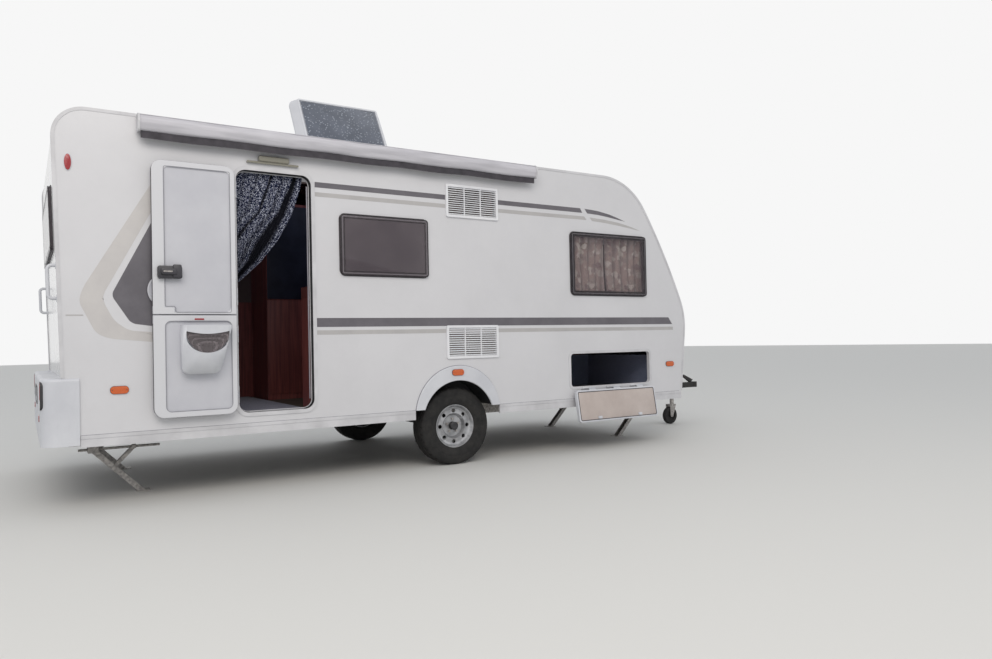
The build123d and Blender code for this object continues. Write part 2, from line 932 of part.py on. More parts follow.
def hatch_frame():
    lining = hatch_lining
    hole = rounded(hatch_x0 + lining, hatch_x1 - lining, hatch_z0 + lining, hatch_z1 - lining,
                   hatch_corner - lining)
    cut = rounded(hatch_x0, hatch_x1, hatch_z0, hatch_z1, hatch_corner)
    flange = rounded(hatch_x0 - hatch_flange, hatch_x1 + hatch_flange,
                     hatch_z0 - hatch_flange, hatch_z1 + hatch_flange, hatch_corner + hatch_flange)
    frame = along_y(cut - hole, -half_width, -inner_half)
    frame += along_y(flange - hole, -half_width - hatch_flange_proud, -half_width)
    width = hatch_x1 - hatch_x0
    for share in hatch_frame_knuckles:
        x0 = hatch_x0 + width * share
        x1 = x0 + width * hatch_knuckle_share
        frame += rod((x0, hatch_hinge_y, hatch_hinge_z), (x1, hatch_hinge_y, hatch_hinge_z),
                     hatch_hinge_radius)
        frame += block(x0, x1, hatch_hinge_y, -half_width - hatch_flange_proud + 1,
                       hatch_hinge_z - hatch_hinge_radius, hatch_hinge_z + 2)
        pin_end = (x1 + width * hatch_knuckle_share, hatch_hinge_y, hatch_hinge_z)
        frame += rod((x0, hatch_hinge_y, hatch_hinge_z), pin_end, hatch_pin_radius)
    return frame


def hatch_flap():
    # Drawn shut, then swung down about its hinge
    gap = hatch_gap + hatch_lining
    outline = rounded(hatch_x0 + gap, hatch_x1 - gap, hatch_z0 + gap, hatch_z1 - gap, hatch_corner - gap)
    flap = along_y(outline, -half_width - 2, -half_width + wall - 4)
    width = hatch_x1 - hatch_x0
    arms = Part()
    for share in hatch_flap_knuckles:
        x0 = hatch_x0 + width * share + 1
        x1 = x0 + width * hatch_knuckle_share - 2
        arms += rod((x0, hatch_hinge_y, hatch_hinge_z), (x1, hatch_hinge_y, hatch_hinge_z),
                    hatch_hinge_radius)
        arm = make_face(Polyline((hatch_hinge_y - hatch_hinge_radius, hatch_hinge_z),
                                 (-half_width - 6, hatch_z0 + gap + hatch_hinge_arm),
                                 (-half_width - 1, hatch_z0 + gap + hatch_hinge_arm),
                                 (-half_width - 1, hatch_z0 + gap + 2), (hatch_hinge_y, hatch_hinge_z + 5),
                                 (hatch_hinge_y - hatch_hinge_radius, hatch_hinge_z)))
        arms += along_x(arm, x0, x1)
        arms -= rod((x0 - 1, hatch_hinge_y, hatch_hinge_z), (x1 + 1, hatch_hinge_y, hatch_hinge_z),
                    hatch_pin_radius + pin_clearance)
    flap += arms
    latch_z = hatch_z1 - gap - latch_down
    for x in (hatch_x0 + width / 4, hatch_x1 - width / 4):
        for half_x, half_z, y0, y1 in latch_plates:
            plate = rounded(x - half_x, x + half_x, latch_z - half_z, latch_z + half_z, half_z / 2)
            flap += along_y(plate, -half_width + y0, -half_width + y1)
    return turned(flap, (0, hatch_hinge_y, hatch_hinge_z), (1, 0, 0), 180 - hatch_hang_angle)


# Gas locker in the nose: box and lid
def nose_reach(outline, z):
    ray = Line((axle_x, z), (far, z))
    return (outline & ray).bounding_box().max.X


gas_hinge_z = gas_z1 + gas_hinge_up
gas_hinge_x = nose_reach(profile, gas_hinge_z) + gas_hinge_out
gas_box_top = gas_z1 + gas_box_above
gas_box_room = [nose_reach(inner_profile, z) for z in (floor_top + 1, gas_box_top)]
gas_box_front_x = min(gas_box_room) - gas_box_gap
gas_box_back_x = gas_box_front_x - gas_box_depth


def gas_locker_box():
    half = gas_half_width + gas_box_beyond
    inside = half - gas_box_wall
    outer = block(gas_box_back_x, gas_box_front_x, -half, half, floor_top, gas_box_top)
    inner = block(gas_box_back_x + gas_box_wall, gas_box_front_x + 1, -inside, inside,
                  floor_top + gas_box_wall, gas_box_top - gas_box_wall)
    return outer - inner


def gas_locker_lid():
    shape = gas_opening(0) & along_y(skin, -inner_half, inner_half)
    half = gas_hinge_arm
    arm_root_x = gas_hinge_x - gas_hinge_out - gas_arm_top
    for y in (-gas_hinge_y, gas_hinge_y):
        arm = make_face(Polyline((gas_hinge_x - gas_hinge_radius, gas_hinge_z),
                                 (arm_root_x, gas_z1 - gas_arm_top),
                                 (arm_root_x, gas_z1 - gas_arm_foot),
                                 (gas_hinge_x - gas_hinge_out, gas_z1 - gas_arm_foot + 4),
                                 (gas_hinge_x, gas_z1 - gas_arm_foot / 2),
                                 (gas_hinge_x + gas_hinge_radius, gas_hinge_z),
                                 (gas_hinge_x - gas_hinge_radius, gas_hinge_z)))
        piece = along_y(arm, y - half, y + half) - along_y(profile, -half_width, half_width)
        piece += rod((gas_hinge_x, y - half, gas_hinge_z), (gas_hinge_x, y + half, gas_hinge_z),
                     gas_hinge_radius)
        piece -= rod((gas_hinge_x, y - half - 2, gas_hinge_z), (gas_hinge_x, y + half + 2, gas_hinge_z),
                     gas_pin_radius + pin_clearance)
        shape += piece
    handle_z = gas_z0 + gas_handle_up
    handle = along_x(rounded(-gas_handle_half, gas_handle_half, handle_z, handle_z + gas_handle_height, 10),
                     gas_hinge_x - 80, gas_hinge_x - 44)
    return shape + (handle - along_y(profile, -half_width, half_width))


def gas_hinges():
    brackets = Part()
    half = gas_hinge_plate / 2
    for y in (-gas_hinge_y, gas_hinge_y):
        for shift in (-gas_hinge_offset, gas_hinge_offset):
            y0 = y + shift - half
            y1 = y + shift + half
            brackets += rod((gas_hinge_x, y0, gas_hinge_z), (gas_hinge_x, y1, gas_hinge_z), gas_hinge_radius)
            brackets += block(gas_hinge_x - gas_hinge_out - 2, gas_hinge_x, y0, y1,
                              gas_hinge_z - 2, gas_hinge_z + gas_hinge_radius + 8)
        reach = gas_hinge_offset + half - 2
        brackets += rod((gas_hinge_x, y - reach, gas_hinge_z), (gas_hinge_x, y + reach, gas_hinge_z),
                        gas_pin_radius)
    return brackets - along_y(profile, -half_width, half_width)


# Rooflight
light_hinge_z = roof_level + light_kerb_height - 8
light_hinge_xs = (light_x0 + light_hinge_from_end, light_x1 - light_hinge_from_end)
light_lid_z0 = roof_level + light_kerb_height + light_seal_gap


def light_rod(x, half_length, radius):
    y = -light_half_width
    return rod((x - half_length, y, light_hinge_z), (x + half_length, y, light_hinge_z), radius)


def rooflight_kerb():
    z0 = roof_level
    z1 = roof_level + light_kerb_height
    x0 = light_x0 + light_hole_inset - light_kerb_wall
    x1 = light_x1 - light_hole_inset + light_kerb_wall
    y1 = light_half_width - light_hole_inset + light_kerb_wall
    inset = light_kerb_wall
    lap = light_flange_lap
    hole = rounded(x0 + inset, x1 - inset, -y1 + inset, y1 - inset, light_hole_corner)
    ring = rounded(x0, x1, -y1, y1, light_hole_corner + inset / 2) - hole
    flange = rounded(x0 - lap, x1 + lap, -y1 - lap, y1 + lap, light_hole_corner + lap) - hole
    kerb = extrude(Plane.XY.offset(z0) * ring, amount=z1 - z0)
    kerb += extrude(Plane.XY.offset(z0) * flange, amount=light_flange_thick)
    for x in light_hinge_xs:
        for shift in (-light_lug_shift, light_lug_shift):
            kerb += light_rod(x + shift, light_lug_half, light_hinge_radius)
            kerb += block(x + shift - light_lug_half, x + shift + light_lug_half,
                          -light_half_width, -y1 + 4,
                          light_hinge_z - light_hinge_radius, light_hinge_z + light_pin_radius)
        kerb += light_rod(x, light_lug_shift + light_lug_half, light_pin_radius)
    return kerb


def light_frustum(inset, z0, rim, rise):
    # A rounded rectangle that goes straight up as the rim and then leans in on all sides
    outline = rounded(light_x0 + inset, light_x1 - inset, -light_half_width + inset,
                      light_half_width - light_lid_far_gap - inset, light_lid_corner - inset)
    straight = extrude(Plane.XY.offset(z0) * outline, amount=rim)
    return straight + extrude(Plane.XY.offset(z0 + rim) * outline, amount=rise, taper=light_lid_taper)


def rooflight():
    # Drawn shut, then tilted open about its right edge
    z0 = light_lid_z0
    wall = light_lid_wall
    lid = light_frustum(0, z0, light_lid_rim, light_lid_rise)
    lid -= light_frustum(wall, z0 - 1, light_lid_rim + 1, light_lid_rise + 1)
    for x in light_hinge_xs:
        arm = block(x - light_arm_half, x + light_arm_half, -light_half_width - light_hinge_radius,
                    -light_half_width + light_hinge_radius, light_hinge_z, z0 + light_lid_wall)
        lid += arm + light_rod(x, light_arm_half, light_hinge_radius)
        lid -= light_rod(x, light_arm_half + 2, light_pin_radius + pin_clearance)
    lean_in = light_lid_rise * math.tan(math.radians(light_lid_taper))
    inset = lean_in + wall - light_pane_lap
    outline = rounded(light_x0 + inset, light_x1 - inset, -light_half_width + inset,
                      light_half_width - light_lid_far_gap - inset, light_lid_corner - inset)
    z1 = z0 + light_lid_rim + light_lid_rise
    pane = extrude(Plane.XY.offset(z1) * outline, amount=light_pane_thick)
    pane = chamfer(pane.faces().sort_by(Axis.Z)[-1].edges(), light_pane_thick / 3)
    hinge = (0, -light_half_width, light_hinge_z)
    return [turned(shape, hinge, (1, 0, 0), light_open_angle) for shape in (lid, pane)]


# Awning bag and the rail that carries it
def awning_outline():
    outline = [(-half_width - out, roof_level - down) for out, down in awning_section]
    face = make_face(Polyline(*outline, outline[0]))
    return fillet(face.vertices(), awning_round)


def awning_bag():
    inset = awning_cap_thick + awning_cap_gap
    return along_x(awning_outline(), awning_x0 + inset, awning_x1 - inset)


def awning_rail():
    z1 = roof_level - awning_rail_from_roof
    rail = block(awning_x0, awning_x1, -half_width - awning_rail_thick, -half_width,
                 z1 - awning_rail_height, z1)
    cap = offset(awning_outline(), amount=awning_cap_lip)
    rail += along_x(cap, awning_x0, awning_x0 + awning_cap_thick)
    rail += along_x(cap, awning_x1 - awning_cap_thick, awning_x1)
    return rail


# Rear bumper with its lamps, and the grab handles
def rear_bumper():
    y_out = half_width + bumper_side
    plan = rounded(bumper_rear_x, bumper_front_x + 400, -y_out, y_out, bumper_corner)
    bar = extrude(Plane.XY.offset(bumper_z0) * plan, amount=bumper_z1 - bumper_z0)
    top = bar.faces().sort_by(Axis.Z)[-1]
    bar = fillet(top.edges(), bumper_round)
    bar &= block(bumper_rear_x - 1, bumper_front_x, -y_out - 1, y_out + 1, bumper_z0 - 1, bumper_z1 + 1)
    room = along_y(profile, -half_width, half_width)
    bar -= room
    hollow = rounded(bumper_rear_x + bumper_skin, bumper_front_x + 400, -y_out + bumper_skin,
                     y_out - bumper_skin, bumper_corner - bumper_skin)
    bar -= extrude(Plane.XY.offset(bumper_z0 - 1) * hollow, amount=bumper_z1 - bumper_z0 + 1 - bumper_skin)
    bar -= block(-40, bumper_front_x + 1, -half_width, half_width, bumper_z0 - 1, floor_under)
    bar -= lamp_blocks(0)
    seat_z0 = bumper_z0 + plate_seat_up
    seat = block(bumper_rear_x - plate_seat_proud, bumper_rear_x + bumper_skin / 2,
                 -plate_seat_length / 2, plate_seat_length / 2, seat_z0, seat_z0 + plate_seat_height)
    return bar + seat


def lamp_blocks(proud):
    lamps = Part()
    for side in (-1, 1):
        y1 = side * (half_width - tail_lamp_inset)
        y0 = y1 - side * tail_lamp_width
        shape = along_x(rounded(min(y0, y1), max(y0, y1), tail_lamp_z0, tail_lamp_z1, tail_lamp_corner),
                        bumper_rear_x - proud, bumper_rear_x + tail_lamp_depth)
        lamps += shape
    return lamps


def tail_lamps():
    y_out = half_width + bumper_side
    plan = rounded(bumper_rear_x - tail_lamp_proud, bumper_front_x + 400, -y_out - tail_lamp_proud,
                   y_out + tail_lamp_proud, bumper_corner)
    hull = extrude(Plane.XY.offset(bumper_z0) * plan, amount=bumper_z1 - bumper_z0)
    lamps = lamp_blocks(tail_lamp_proud) & hull
    for side in (-1, 1):
        y_wall = side * half_width
        y_lamp = side * (half_width + marker_proud)
        oval = Pos(marker_x, marker_z) * Ellipse(marker_half_width, marker_half_height)
        lamps += along_y(oval, min(y_wall, y_lamp), max(y_wall, y_lamp))
    return lamps


def amber_lamps():
    lamps = Part()
    spots = [
        # middle x, z0, z1, how far the carrier stands out of the wall
        (side_lamp_rear_x, side_lamp_z0, side_lamp_z1, 0),
        (arch_lamp_x, arch_lamp_z0, arch_lamp_z1, arch_trim_proud),
        (side_lamp_front_x, side_lamp_z0, side_lamp_z1, 0),
    ]
    half = side_lamp_half_length
    for side in (-1, 1):
        for x, z0, z1, carrier in spots:
            base = side * (half_width + carrier)
            out = base + side * side_lamp_proud
            outline = rounded(x - half, x + half, z0, z1, side_lamp_corner)
            lamps += along_y(outline, min(base, out), max(base, out))
    return lamps


def grab_handles():
    handles = Part()
    lean = math.tan(math.radians(rear_lean))
    for side in (-1, 1):
        y = side * handle_y
        x_low = rear_foot_x - (handle_z0 - floor_under) * lean
        x_high = rear_foot_x - (handle_z1 - floor_under) * lean
        bow = FilletPolyline((x_low, y, handle_z0), (x_low - handle_reach, y, handle_z0),
                             (x_high - handle_reach, y, handle_z1), (x_high, y, handle_z1), radius=26)
        section = Plane(origin=bow @ 0, z_dir=bow % 0) * Circle(handle_radius)
        handles += sweep(section, path=bow)
        for x, z in ((x_low, handle_z0), (x_high, handle_z1)):
            handles += block(x - 8, x, y - 20, y + 20, z - 20, z + 20)
    return handles & block(-far, far, -far, far, 0, far) - along_y(profile, -inner_half, inner_half)


def door_lamp():
    z0 = door_z1 + door_lamp_above_door
    z_box = z0 + door_lamp_base_height
    base = along_y(rounded(door_lamp_x0, door_lamp_x1, z0, z_box, 5),
                   -half_width - door_lamp_base_proud, -half_width)
    lamp = along_y(rounded(door_lamp_box_x0, door_lamp_box_x1, z_box, z0 + door_lamp_height, 12),
                   -half_width - door_lamp_proud, -half_width)
    lamp = fillet(lamp.faces().sort_by(Axis.Y)[0].edges(), 8)
    return base + lamp


# Chassis
def rail_strip(y_outer, y_inner, z0, z1):
    nose_shift = rail_y - rail_nose_y
    points = [
        (rail_rear_x, y_outer),
        (rail_bend_x, y_outer),
        (rail_nose_x, y_outer - nose_shift),
        (rail_nose_x, y_inner - nose_shift),
        (rail_bend_x, y_inner),
        (rail_rear_x, y_inner),
        (rail_rear_x, y_outer),
    ]
    return extrude(Plane.XY.offset(z0) * make_face(Polyline(*points)), amount=z1 - z0)


def chassis_rails():
    frame = Part()
    for side in (-1, 1):
        rail = rail_strip(rail_y, rail_y - rail_web, rail_z0, floor_under)
        rail += rail_strip(rail_y, rail_y - rail_flange, rail_z0, rail_z0 + rail_web)
        rail += rail_strip(rail_y, rail_y - rail_flange, floor_under - rail_web, floor_under)
        frame += rail if side > 0 else mirrored(rail)
    reach = rail_y - rail_web
    for x, width in cross_members:
        span = reach if x < rail_bend_x else rail_half_gap(x + width / 2)
        member = block(x - width / 2, x + width / 2, -span, span,
                       floor_under - member_depth, floor_under - rail_web)
        member -= block(x - width / 2 + member_web, x + width / 2 + 1, -span, span,
                        floor_under - member_depth + member_web, floor_under - rail_web - member_web)
        frame += member
    outrigger_x = steady_front_foot_x + steady_reach
    span = steady_y + outrigger_beyond
    half = outrigger_half_width
    web = member_web
    beam = block(outrigger_x - half, outrigger_x + half, -span, span, rail_z0, floor_under)
    beam -= block(outrigger_x - half + web - 1, outrigger_x + half + 1, -span - 1, span + 1,
                  rail_z0 + web, floor_under - web)
    return frame + beam


def rail_half_gap(x):
    share = (x - rail_bend_x) / (rail_nose_x - rail_bend_x)
    return rail_y - share * (rail_y - rail_nose_y) - rail_web


def axle_beam():
    beam_x = axle_x + beam_ahead
    tyre_inner = wheel_middle_y - tyre_width / 2
    arm_y1 = tyre_inner - arm_gap
    arm_y0 = arm_y1 - arm_thick
    beam = extrude(Plane(origin=(beam_x, -arm_y0, beam_z), z_dir=(0, 1, 0)) * RegularPolygon(beam_radius, 6),
                   amount=2 * arm_y0)
    for side in (-1, 1):
        plate = Pos(beam_x, beam_z) * Circle(arm_root_radius)
        plate += Pos(axle_x, axle_z) * Circle(arm_tip_radius)
        root = arm_root_radius - arm_waist
        tip = arm_tip_radius - arm_waist
        link = make_face(Polyline((beam_x, beam_z + root), (axle_x, axle_z + tip), (axle_x, axle_z - tip),
                                  (beam_x, beam_z - root), (beam_x, beam_z + root)))
        arm = along_y(plate + link, min(side * arm_y0, side * arm_y1), max(side * arm_y0, side * arm_y1))
        drum_y = drum_outer_y()
        stub = rod((axle_x, side * (arm_y1 - 4), axle_z), (axle_x, side * (drum_y - 6), axle_z), stub_radius)
        beam += arm + stub
        y0 = side * (rail_y - rail_flange)
        y1 = side * rail_y
        bracket = block(beam_x - beam_seat, beam_x + beam_seat, min(y0, y1), max(y0, y1), beam_z, rail_z0)
        beam += bracket
    return beam


def drum_outer_y():
    return wheel_middle_y - tyre_width / 2 + 8 + drum_depth


# Wheels
def tyre_section():
    bead = Line((rim_radius, -bead_half), (rim_radius, bead_half))
    foot = (rim_radius + bead_height, bead_half + bead_flare)
    bulge = ((rim_radius + tyre_radius) / 2, tyre_width / 2)
    edges = [bead]
    for flip in (1, -1):
        shoulder, corner, tread = [(tyre_radius - down, flip * (tyre_width / 2 - inward))
                                   for down, inward in tyre_shoulder]
        low = (foot[0], flip * foot[1])
        edges.append(Line((rim_radius, flip * bead_half), low))
        edges.append(ThreePointArc(low, (bulge[0], flip * bulge[1]), shoulder))
        edges.append(ThreePointArc(shoulder, corner, tread))
    edges.append(ThreePointArc((tread[0], -tread[1]), (tyre_radius, 0), tread))
    return make_face(edges)


def wheel_pieces(side):
    tyre_face = tyre_section()
    outline = [(rim_radius - inward, out) for inward, out in rim_section]
    rim_face = make_face(Polyline(*outline, outline[0]))
    place = Plane(origin=(axle_x, side * wheel_middle_y, axle_z), x_dir=(1, 0, 0), z_dir=(0, 0, 1))
    spin_axis = Axis((axle_x, 0, axle_z), (0, 1, 0))
    flip = 1 if side > 0 else -1
    tyre = revolve(place * tyre_face, axis=spin_axis)
    rim = revolve(place * (rim_face if flip > 0 else rim_face.mirror(Plane.XZ)), axis=spin_axis)
    for index in range(rim_hole_count):
        angle = math.radians(360 * index / rim_hole_count)
        x = axle_x + rim_hole_circle * math.cos(angle)
        z = axle_z + rim_hole_circle * math.sin(angle)
        rim -= rod((x, side * wheel_middle_y, z), (x, side * (half_width - 1), z), rim_hole_radius)
    drum_y1 = drum_outer_y()
    drum_y0 = drum_y1 - drum_depth
    drum = rod((axle_x, side * drum_y0, axle_z), (axle_x, side * drum_y1, axle_z), drum_radius)
    disc_y = wheel_middle_y + rim_disc_out
    drum += rod((axle_x, side * drum_y1, axle_z), (axle_x, side * disc_y, axle_z), hub_seat_radius)
    drum += rod((axle_x, side * disc_y, axle_z), (axle_x, side * (disc_y + hub_height), axle_z), hub_radius)
    drum -= rod((axle_x, side * (drum_y0 - 1), axle_z), (axle_x, side * (drum_y1 - 4), axle_z), hub_bore)
    return tyre, rim, drum


# Coupling, overrun device and handbrake
def coupling_head():
    z = coupling_z
    half = overrun_half_width
    housing = block(overrun_x0, overrun_x1, -half, half, overrun_z0, floor_under - rail_web)
    housing = fillet(housing.edges().filter_by(Axis.X).sort_by(Axis.Z)[:2], 18)
    tube_x0 = overrun_x0 - draw_tube_beyond
    head = housing + rod((tube_x0, 0, z), (ball_x - draw_tube_short, 0, z), draw_tube_radius)
    fold = (bellows_x1 - overrun_x1) / bellows_folds
    for index in range(bellows_folds):
        x0 = overrun_x1 + index * fold
        head += rod((x0, 0, z), (x0 + fold * bellows_crest, 0, z), bellows_radius)
        head += rod((x0 + fold / 2, 0, z), (x0 + fold + 1, 0, z), bellows_radius - bellows_fold_depth)
    grip = block(bellows_x1, ball_x - coupling_nose / 2, -coupling_half, coupling_half,
                 z - ball_socket_depth, z + coupling_half)
    cup = extrude(Plane.XY.offset(z - ball_socket_depth) * (Pos(ball_x, 0) * Circle(coupling_nose)),
                  amount=coupling_height)
    shell = grip + cup
    shell -= rod((ball_x, 0, z - ball_socket_depth - 1), (ball_x, 0, z), ball_socket_radius)
    shell -= Pos(ball_x, 0, z) * Sphere(ball_socket_radius)
    corners = [(ball_x - behind, z + up) for behind, up in coupling_handle]
    lever = make_face(Polyline(*corners, corners[0]))
    shell += along_y(lever, -coupling_handle_half, coupling_handle_half)
    stem = (brake_lever_x, floor_under + 6)
    angle = math.radians(180 - brake_lever_angle)
    tip = (stem[0] + brake_lever_length * math.cos(angle), stem[1] + brake_lever_length * math.sin(angle))
    bar = rod((stem[0], brake_lever_y, stem[1]), (tip[0], brake_lever_y, tip[1]), brake_lever_radius)
    bar += block(stem[0] - brake_seat_half, stem[0] + brake_seat_half, overrun_half_width - 4,
                 brake_lever_y - 2, floor_under - rail_web - 8, stem[1] + 20)
    return head + shell + bar


# Jockey wheel
def jockey_clamp():
    web_y = -rail_half_gap(jockey_x) - rail_web
    r = jockey_outer_radius
    half = jockey_clamp_half
    clamp_z0 = jockey_tube_z0 + jockey_cap
    clamp_z1 = clamp_z0 + jockey_clamp_height
    clamp = block(jockey_x - half, jockey_x + half, jockey_y - r - 10, web_y, clamp_z0, clamp_z1)
    tube = rod((jockey_x, jockey_y, jockey_tube_z0), (jockey_x, jockey_y, jockey_tube_z1), r)
    cavity = rod((jockey_x, jockey_y, jockey_tube_z0 - 1), (jockey_x, jockey_y, jockey_tube_z1 - jockey_cap),
                 jockey_inner_radius + jockey_tube_clearance)
    z = jockey_tube_z1 + jockey_crank_rise
    grip_x = jockey_x - jockey_crank_reach + jockey_cap
    crank = rod((jockey_x, jockey_y, jockey_tube_z1), (jockey_x, jockey_y, z), jockey_crank_radius)
    crank += block(grip_x - jockey_cap, jockey_x + jockey_cap, jockey_y - jockey_cap, jockey_y + jockey_cap,
                   z, z + jockey_crank_thick)
    crank += rod((grip_x, jockey_y, z), (grip_x, jockey_y, z + jockey_grip_length), jockey_cap)
    screw_z = (clamp_z0 + clamp_z1) / 2
    clamp_screw = rod((jockey_x + half, jockey_y, screw_z), (jockey_x + 2 * half, jockey_y, screw_z),
                      jockey_screw_radius)
    clamp -= mirrored(rail_strip(rail_y, 0, rail_z0, floor_under))
    return clamp + tube - cavity + crank + clamp_screw


def jockey_inner():
    tube = rod((jockey_x, jockey_y, jockey_inner_z0), (jockey_x, jockey_y, jockey_inner_z1),
               jockey_inner_radius)
    hole_top = jockey_inner_z0 + jockey_stem_length + 2
    stem_hole = rod((jockey_x, jockey_y, jockey_inner_z0 - 1), (jockey_x, jockey_y, hole_top),
                    jockey_stem_radius + pin_clearance)
    return tube - stem_hole


def jockey_fork():
    top_z = jockey_inner_z0 - 1
    half = jockey_wheel_width / 2 + jockey_fork_gap
    outer = half + jockey_fork_plate
    wheel_x = jockey_x - jockey_trail
    r = jockey_wheel_radius
    stem = rod((jockey_x, jockey_y, top_z - jockey_fork_plate),
               (jockey_x, jockey_y, jockey_inner_z0 + jockey_stem_length), jockey_stem_radius)
    crown_z = top_z - jockey_fork_plate
    x0 = wheel_x - jockey_fork_back
    x1 = jockey_x + jockey_fork_front
    crown = block(x0, x1, jockey_y - outer, jockey_y + outer, crown_z, top_z)
    tip = jockey_fork_tip_half
    tip_z = r - jockey_fork_tip_down
    cheek = make_face(Polyline((x0, crown_z + 1), (x1, crown_z + 1), (wheel_x + tip, tip_z),
                               (wheel_x - tip, tip_z), (x0, crown_z + 1)))
    fork = stem + crown
    for side in (-1, 1):
        y0 = jockey_y + side * half
        y1 = jockey_y + side * outer
        fork += along_y(cheek, min(y0, y1), max(y0, y1))
    fork += rod((wheel_x, jockey_y - outer - 4, r), (wheel_x, jockey_y + outer + 4, r), jockey_pin_radius)
    return fork


def jockey_wheel():
    wheel_x = jockey_x - jockey_trail
    r = jockey_wheel_radius
    half = jockey_wheel_width / 2
    wheel = rod((wheel_x, jockey_y - half, r), (wheel_x, jockey_y + half, r), r)
    wheel = fillet(wheel.edges().filter_by(GeomType.CIRCLE), jockey_tread_round)
    for side in (-1, 1):
        y0 = jockey_y + side * (half - jockey_dish_depth)
        y1 = jockey_y + side * (half + 2)
        wheel -= rod((wheel_x, y0, r), (wheel_x, y1, r), jockey_dish_radius)
    wheel += rod((wheel_x, jockey_y - half - 3, r), (wheel_x, jockey_y + half + 3, r), jockey_hub_radius)
    bore = jockey_pin_radius + 0.5
    return wheel - rod((wheel_x, jockey_y - half - 5, r), (wheel_x, jockey_y + half + 5, r), bore)


# Corner steadies, drawn at the right rear with the foot towards the middle
def steady_leg(pivot_x, foot_side, y):
    length = math.hypot(steady_reach, steady_pivot_z) + steady_foot_half
    w = steady_leg_half_width
    t = steady_leg_plate
    leg = Box(length - steady_web_start, 2 * w, t, align=(Align.MIN, Align.CENTER, Align.MIN))
    leg = Pos(steady_web_start, 0, -steady_leg_below) * leg
    for side in (-1, 1):
        flange = Box(length + steady_eye_radius, t, steady_leg_below + steady_leg_above,
                     align=(Align.MIN, Align.CENTER, Align.MIN))
        leg += Pos(-steady_eye_radius, side * (w - t / 2), -steady_leg_below) * flange
    cut_radius = steady_pivot_radius + pin_clearance
    leg -= Rot(X=90) * Cylinder(cut_radius, 4 * w)
    leg += Pos(steady_link, 0, 0) * Rot(X=90) * Cylinder(steady_pin_radius, 2 * w)
    leg = Rot(Y=tilt_of_leg) * leg
    leg = Pos(0, 0, steady_pivot_z) * leg
    foot_x = steady_reach
    leg &= block(-steady_reach, 2 * foot_x, -w - 1, w + 1, steady_foot_thick / 2, 2 * steady_pivot_z)
    pad = block(foot_x - steady_foot_half, foot_x + steady_foot_half, -steady_foot_half, steady_foot_half,
                0, steady_foot_thick)
    leg += pad
    return place_steady(leg, pivot_x, foot_side, y)


def steady_strut(pivot_x, foot_side, y):
    w = steady_strut_half_width
    t = steady_strut_plate
    d = steady_strut_depth
    strut = Part()
    for side in (-1, 1):
        plate = SlotCenterToCenter(steady_link, d)
        y_mid = side * (w - t / 2)
        bar = along_y(Pos(steady_link / 2, 0) * plate, y_mid - t / 2, y_mid + t / 2)
        strut += bar
    strut += block(steady_eye_room, steady_link - steady_eye_room, -w + 1, w - 1, -d / 2, -d / 2 + t)
    strut -= Rot(X=90) * Cylinder(steady_pin_radius + pin_clearance, 4 * w)
    strut = Rot(Y=-tilt_of_leg) * strut
    a = math.radians(tilt_of_leg)
    start = (steady_link * math.cos(a), 0, steady_pivot_z - steady_link * math.sin(a))
    strut = Pos(*start) * strut
    return place_steady(strut, pivot_x, foot_side, y)


def steady_bracket(pivot_x, foot_side, y):
    w = steady_leg_half_width
    gap = 4
    half = steady_bracket_half
    nut = steady_nut_half
    bracket = Part()
    bearer_z = rail_z0
    for side in (-1, 1):
        y0 = side * (w + gap)
        y1 = side * (w + gap + 4)
        cheek = block(-half, half, min(y0, y1), max(y0, y1), steady_pivot_z - steady_eye_radius, bearer_z)
        pin = rod((0, side * nut, steady_pivot_z), (0, y1, steady_pivot_z), steady_pivot_radius)
        bracket += cheek + pin
    bracket += block(-half, half, -w - gap - 4, w + gap + 4, bearer_z - 6, bearer_z)
    bracket += block(-nut, nut, -nut - 4, nut + 4, steady_pivot_z - nut, steady_pivot_z + nut)
    a = math.radians(tilt_of_leg)
    nut_x = 2 * steady_link * math.cos(a)
    spindle_x1 = 2 * steady_link + steady_spindle_beyond
    bracket += rod((-steady_spindle_end, 0, steady_pivot_z), (spindle_x1, 0, steady_pivot_z),
                   steady_spindle_radius)
    bracket += block(nut_x - nut, nut_x + nut, -nut, nut, steady_pivot_z - nut, steady_pivot_z + nut)
    return place_steady(bracket, pivot_x, foot_side, y)


def place_steady(shape, pivot_x, foot_side, y):
    if foot_side < 0:
        shape = shape.mirror(Plane.YZ)
    return Pos(pivot_x, y, 0) * shape


steadies = [
    # name, pivot x, foot side along x, y
    ("rear_right", steady_rear_foot_x - steady_reach, 1, -steady_y),
    ("rear_left", steady_rear_foot_x - steady_reach, 1, steady_y),
    ("front_right", steady_front_foot_x + steady_reach, -1, -steady_y),
    ("front_left", steady_front_foot_x + steady_reach, -1, steady_y),
]


# Cabinets, beds, mattresses and curtains
def cabinets():
    # Each unit is a box of boards with its back left open to the wall
    t = cabinet_board
    units = Part()
    for side, x0, x1, top in cabinet_units:
        y_wall = side * (inner_half - cabinet_gap)
        y_door = side * cabinet_front_y
        unit = block(x0, x1, y_wall, y_door, floor_top, top)
        units += unit - block(x0 + t, x1 - t, y_door + side * t, side * half_width, floor_top + t, top - t)
    for side in (-1, 1):
        keep_clear = arch_inner_radius + wheel_box_wall + cabinet_gap
        units -= arch_prism(side, keep_clear, wheel_box_depth + wheel_box_wall + cabinet_gap)
    return units


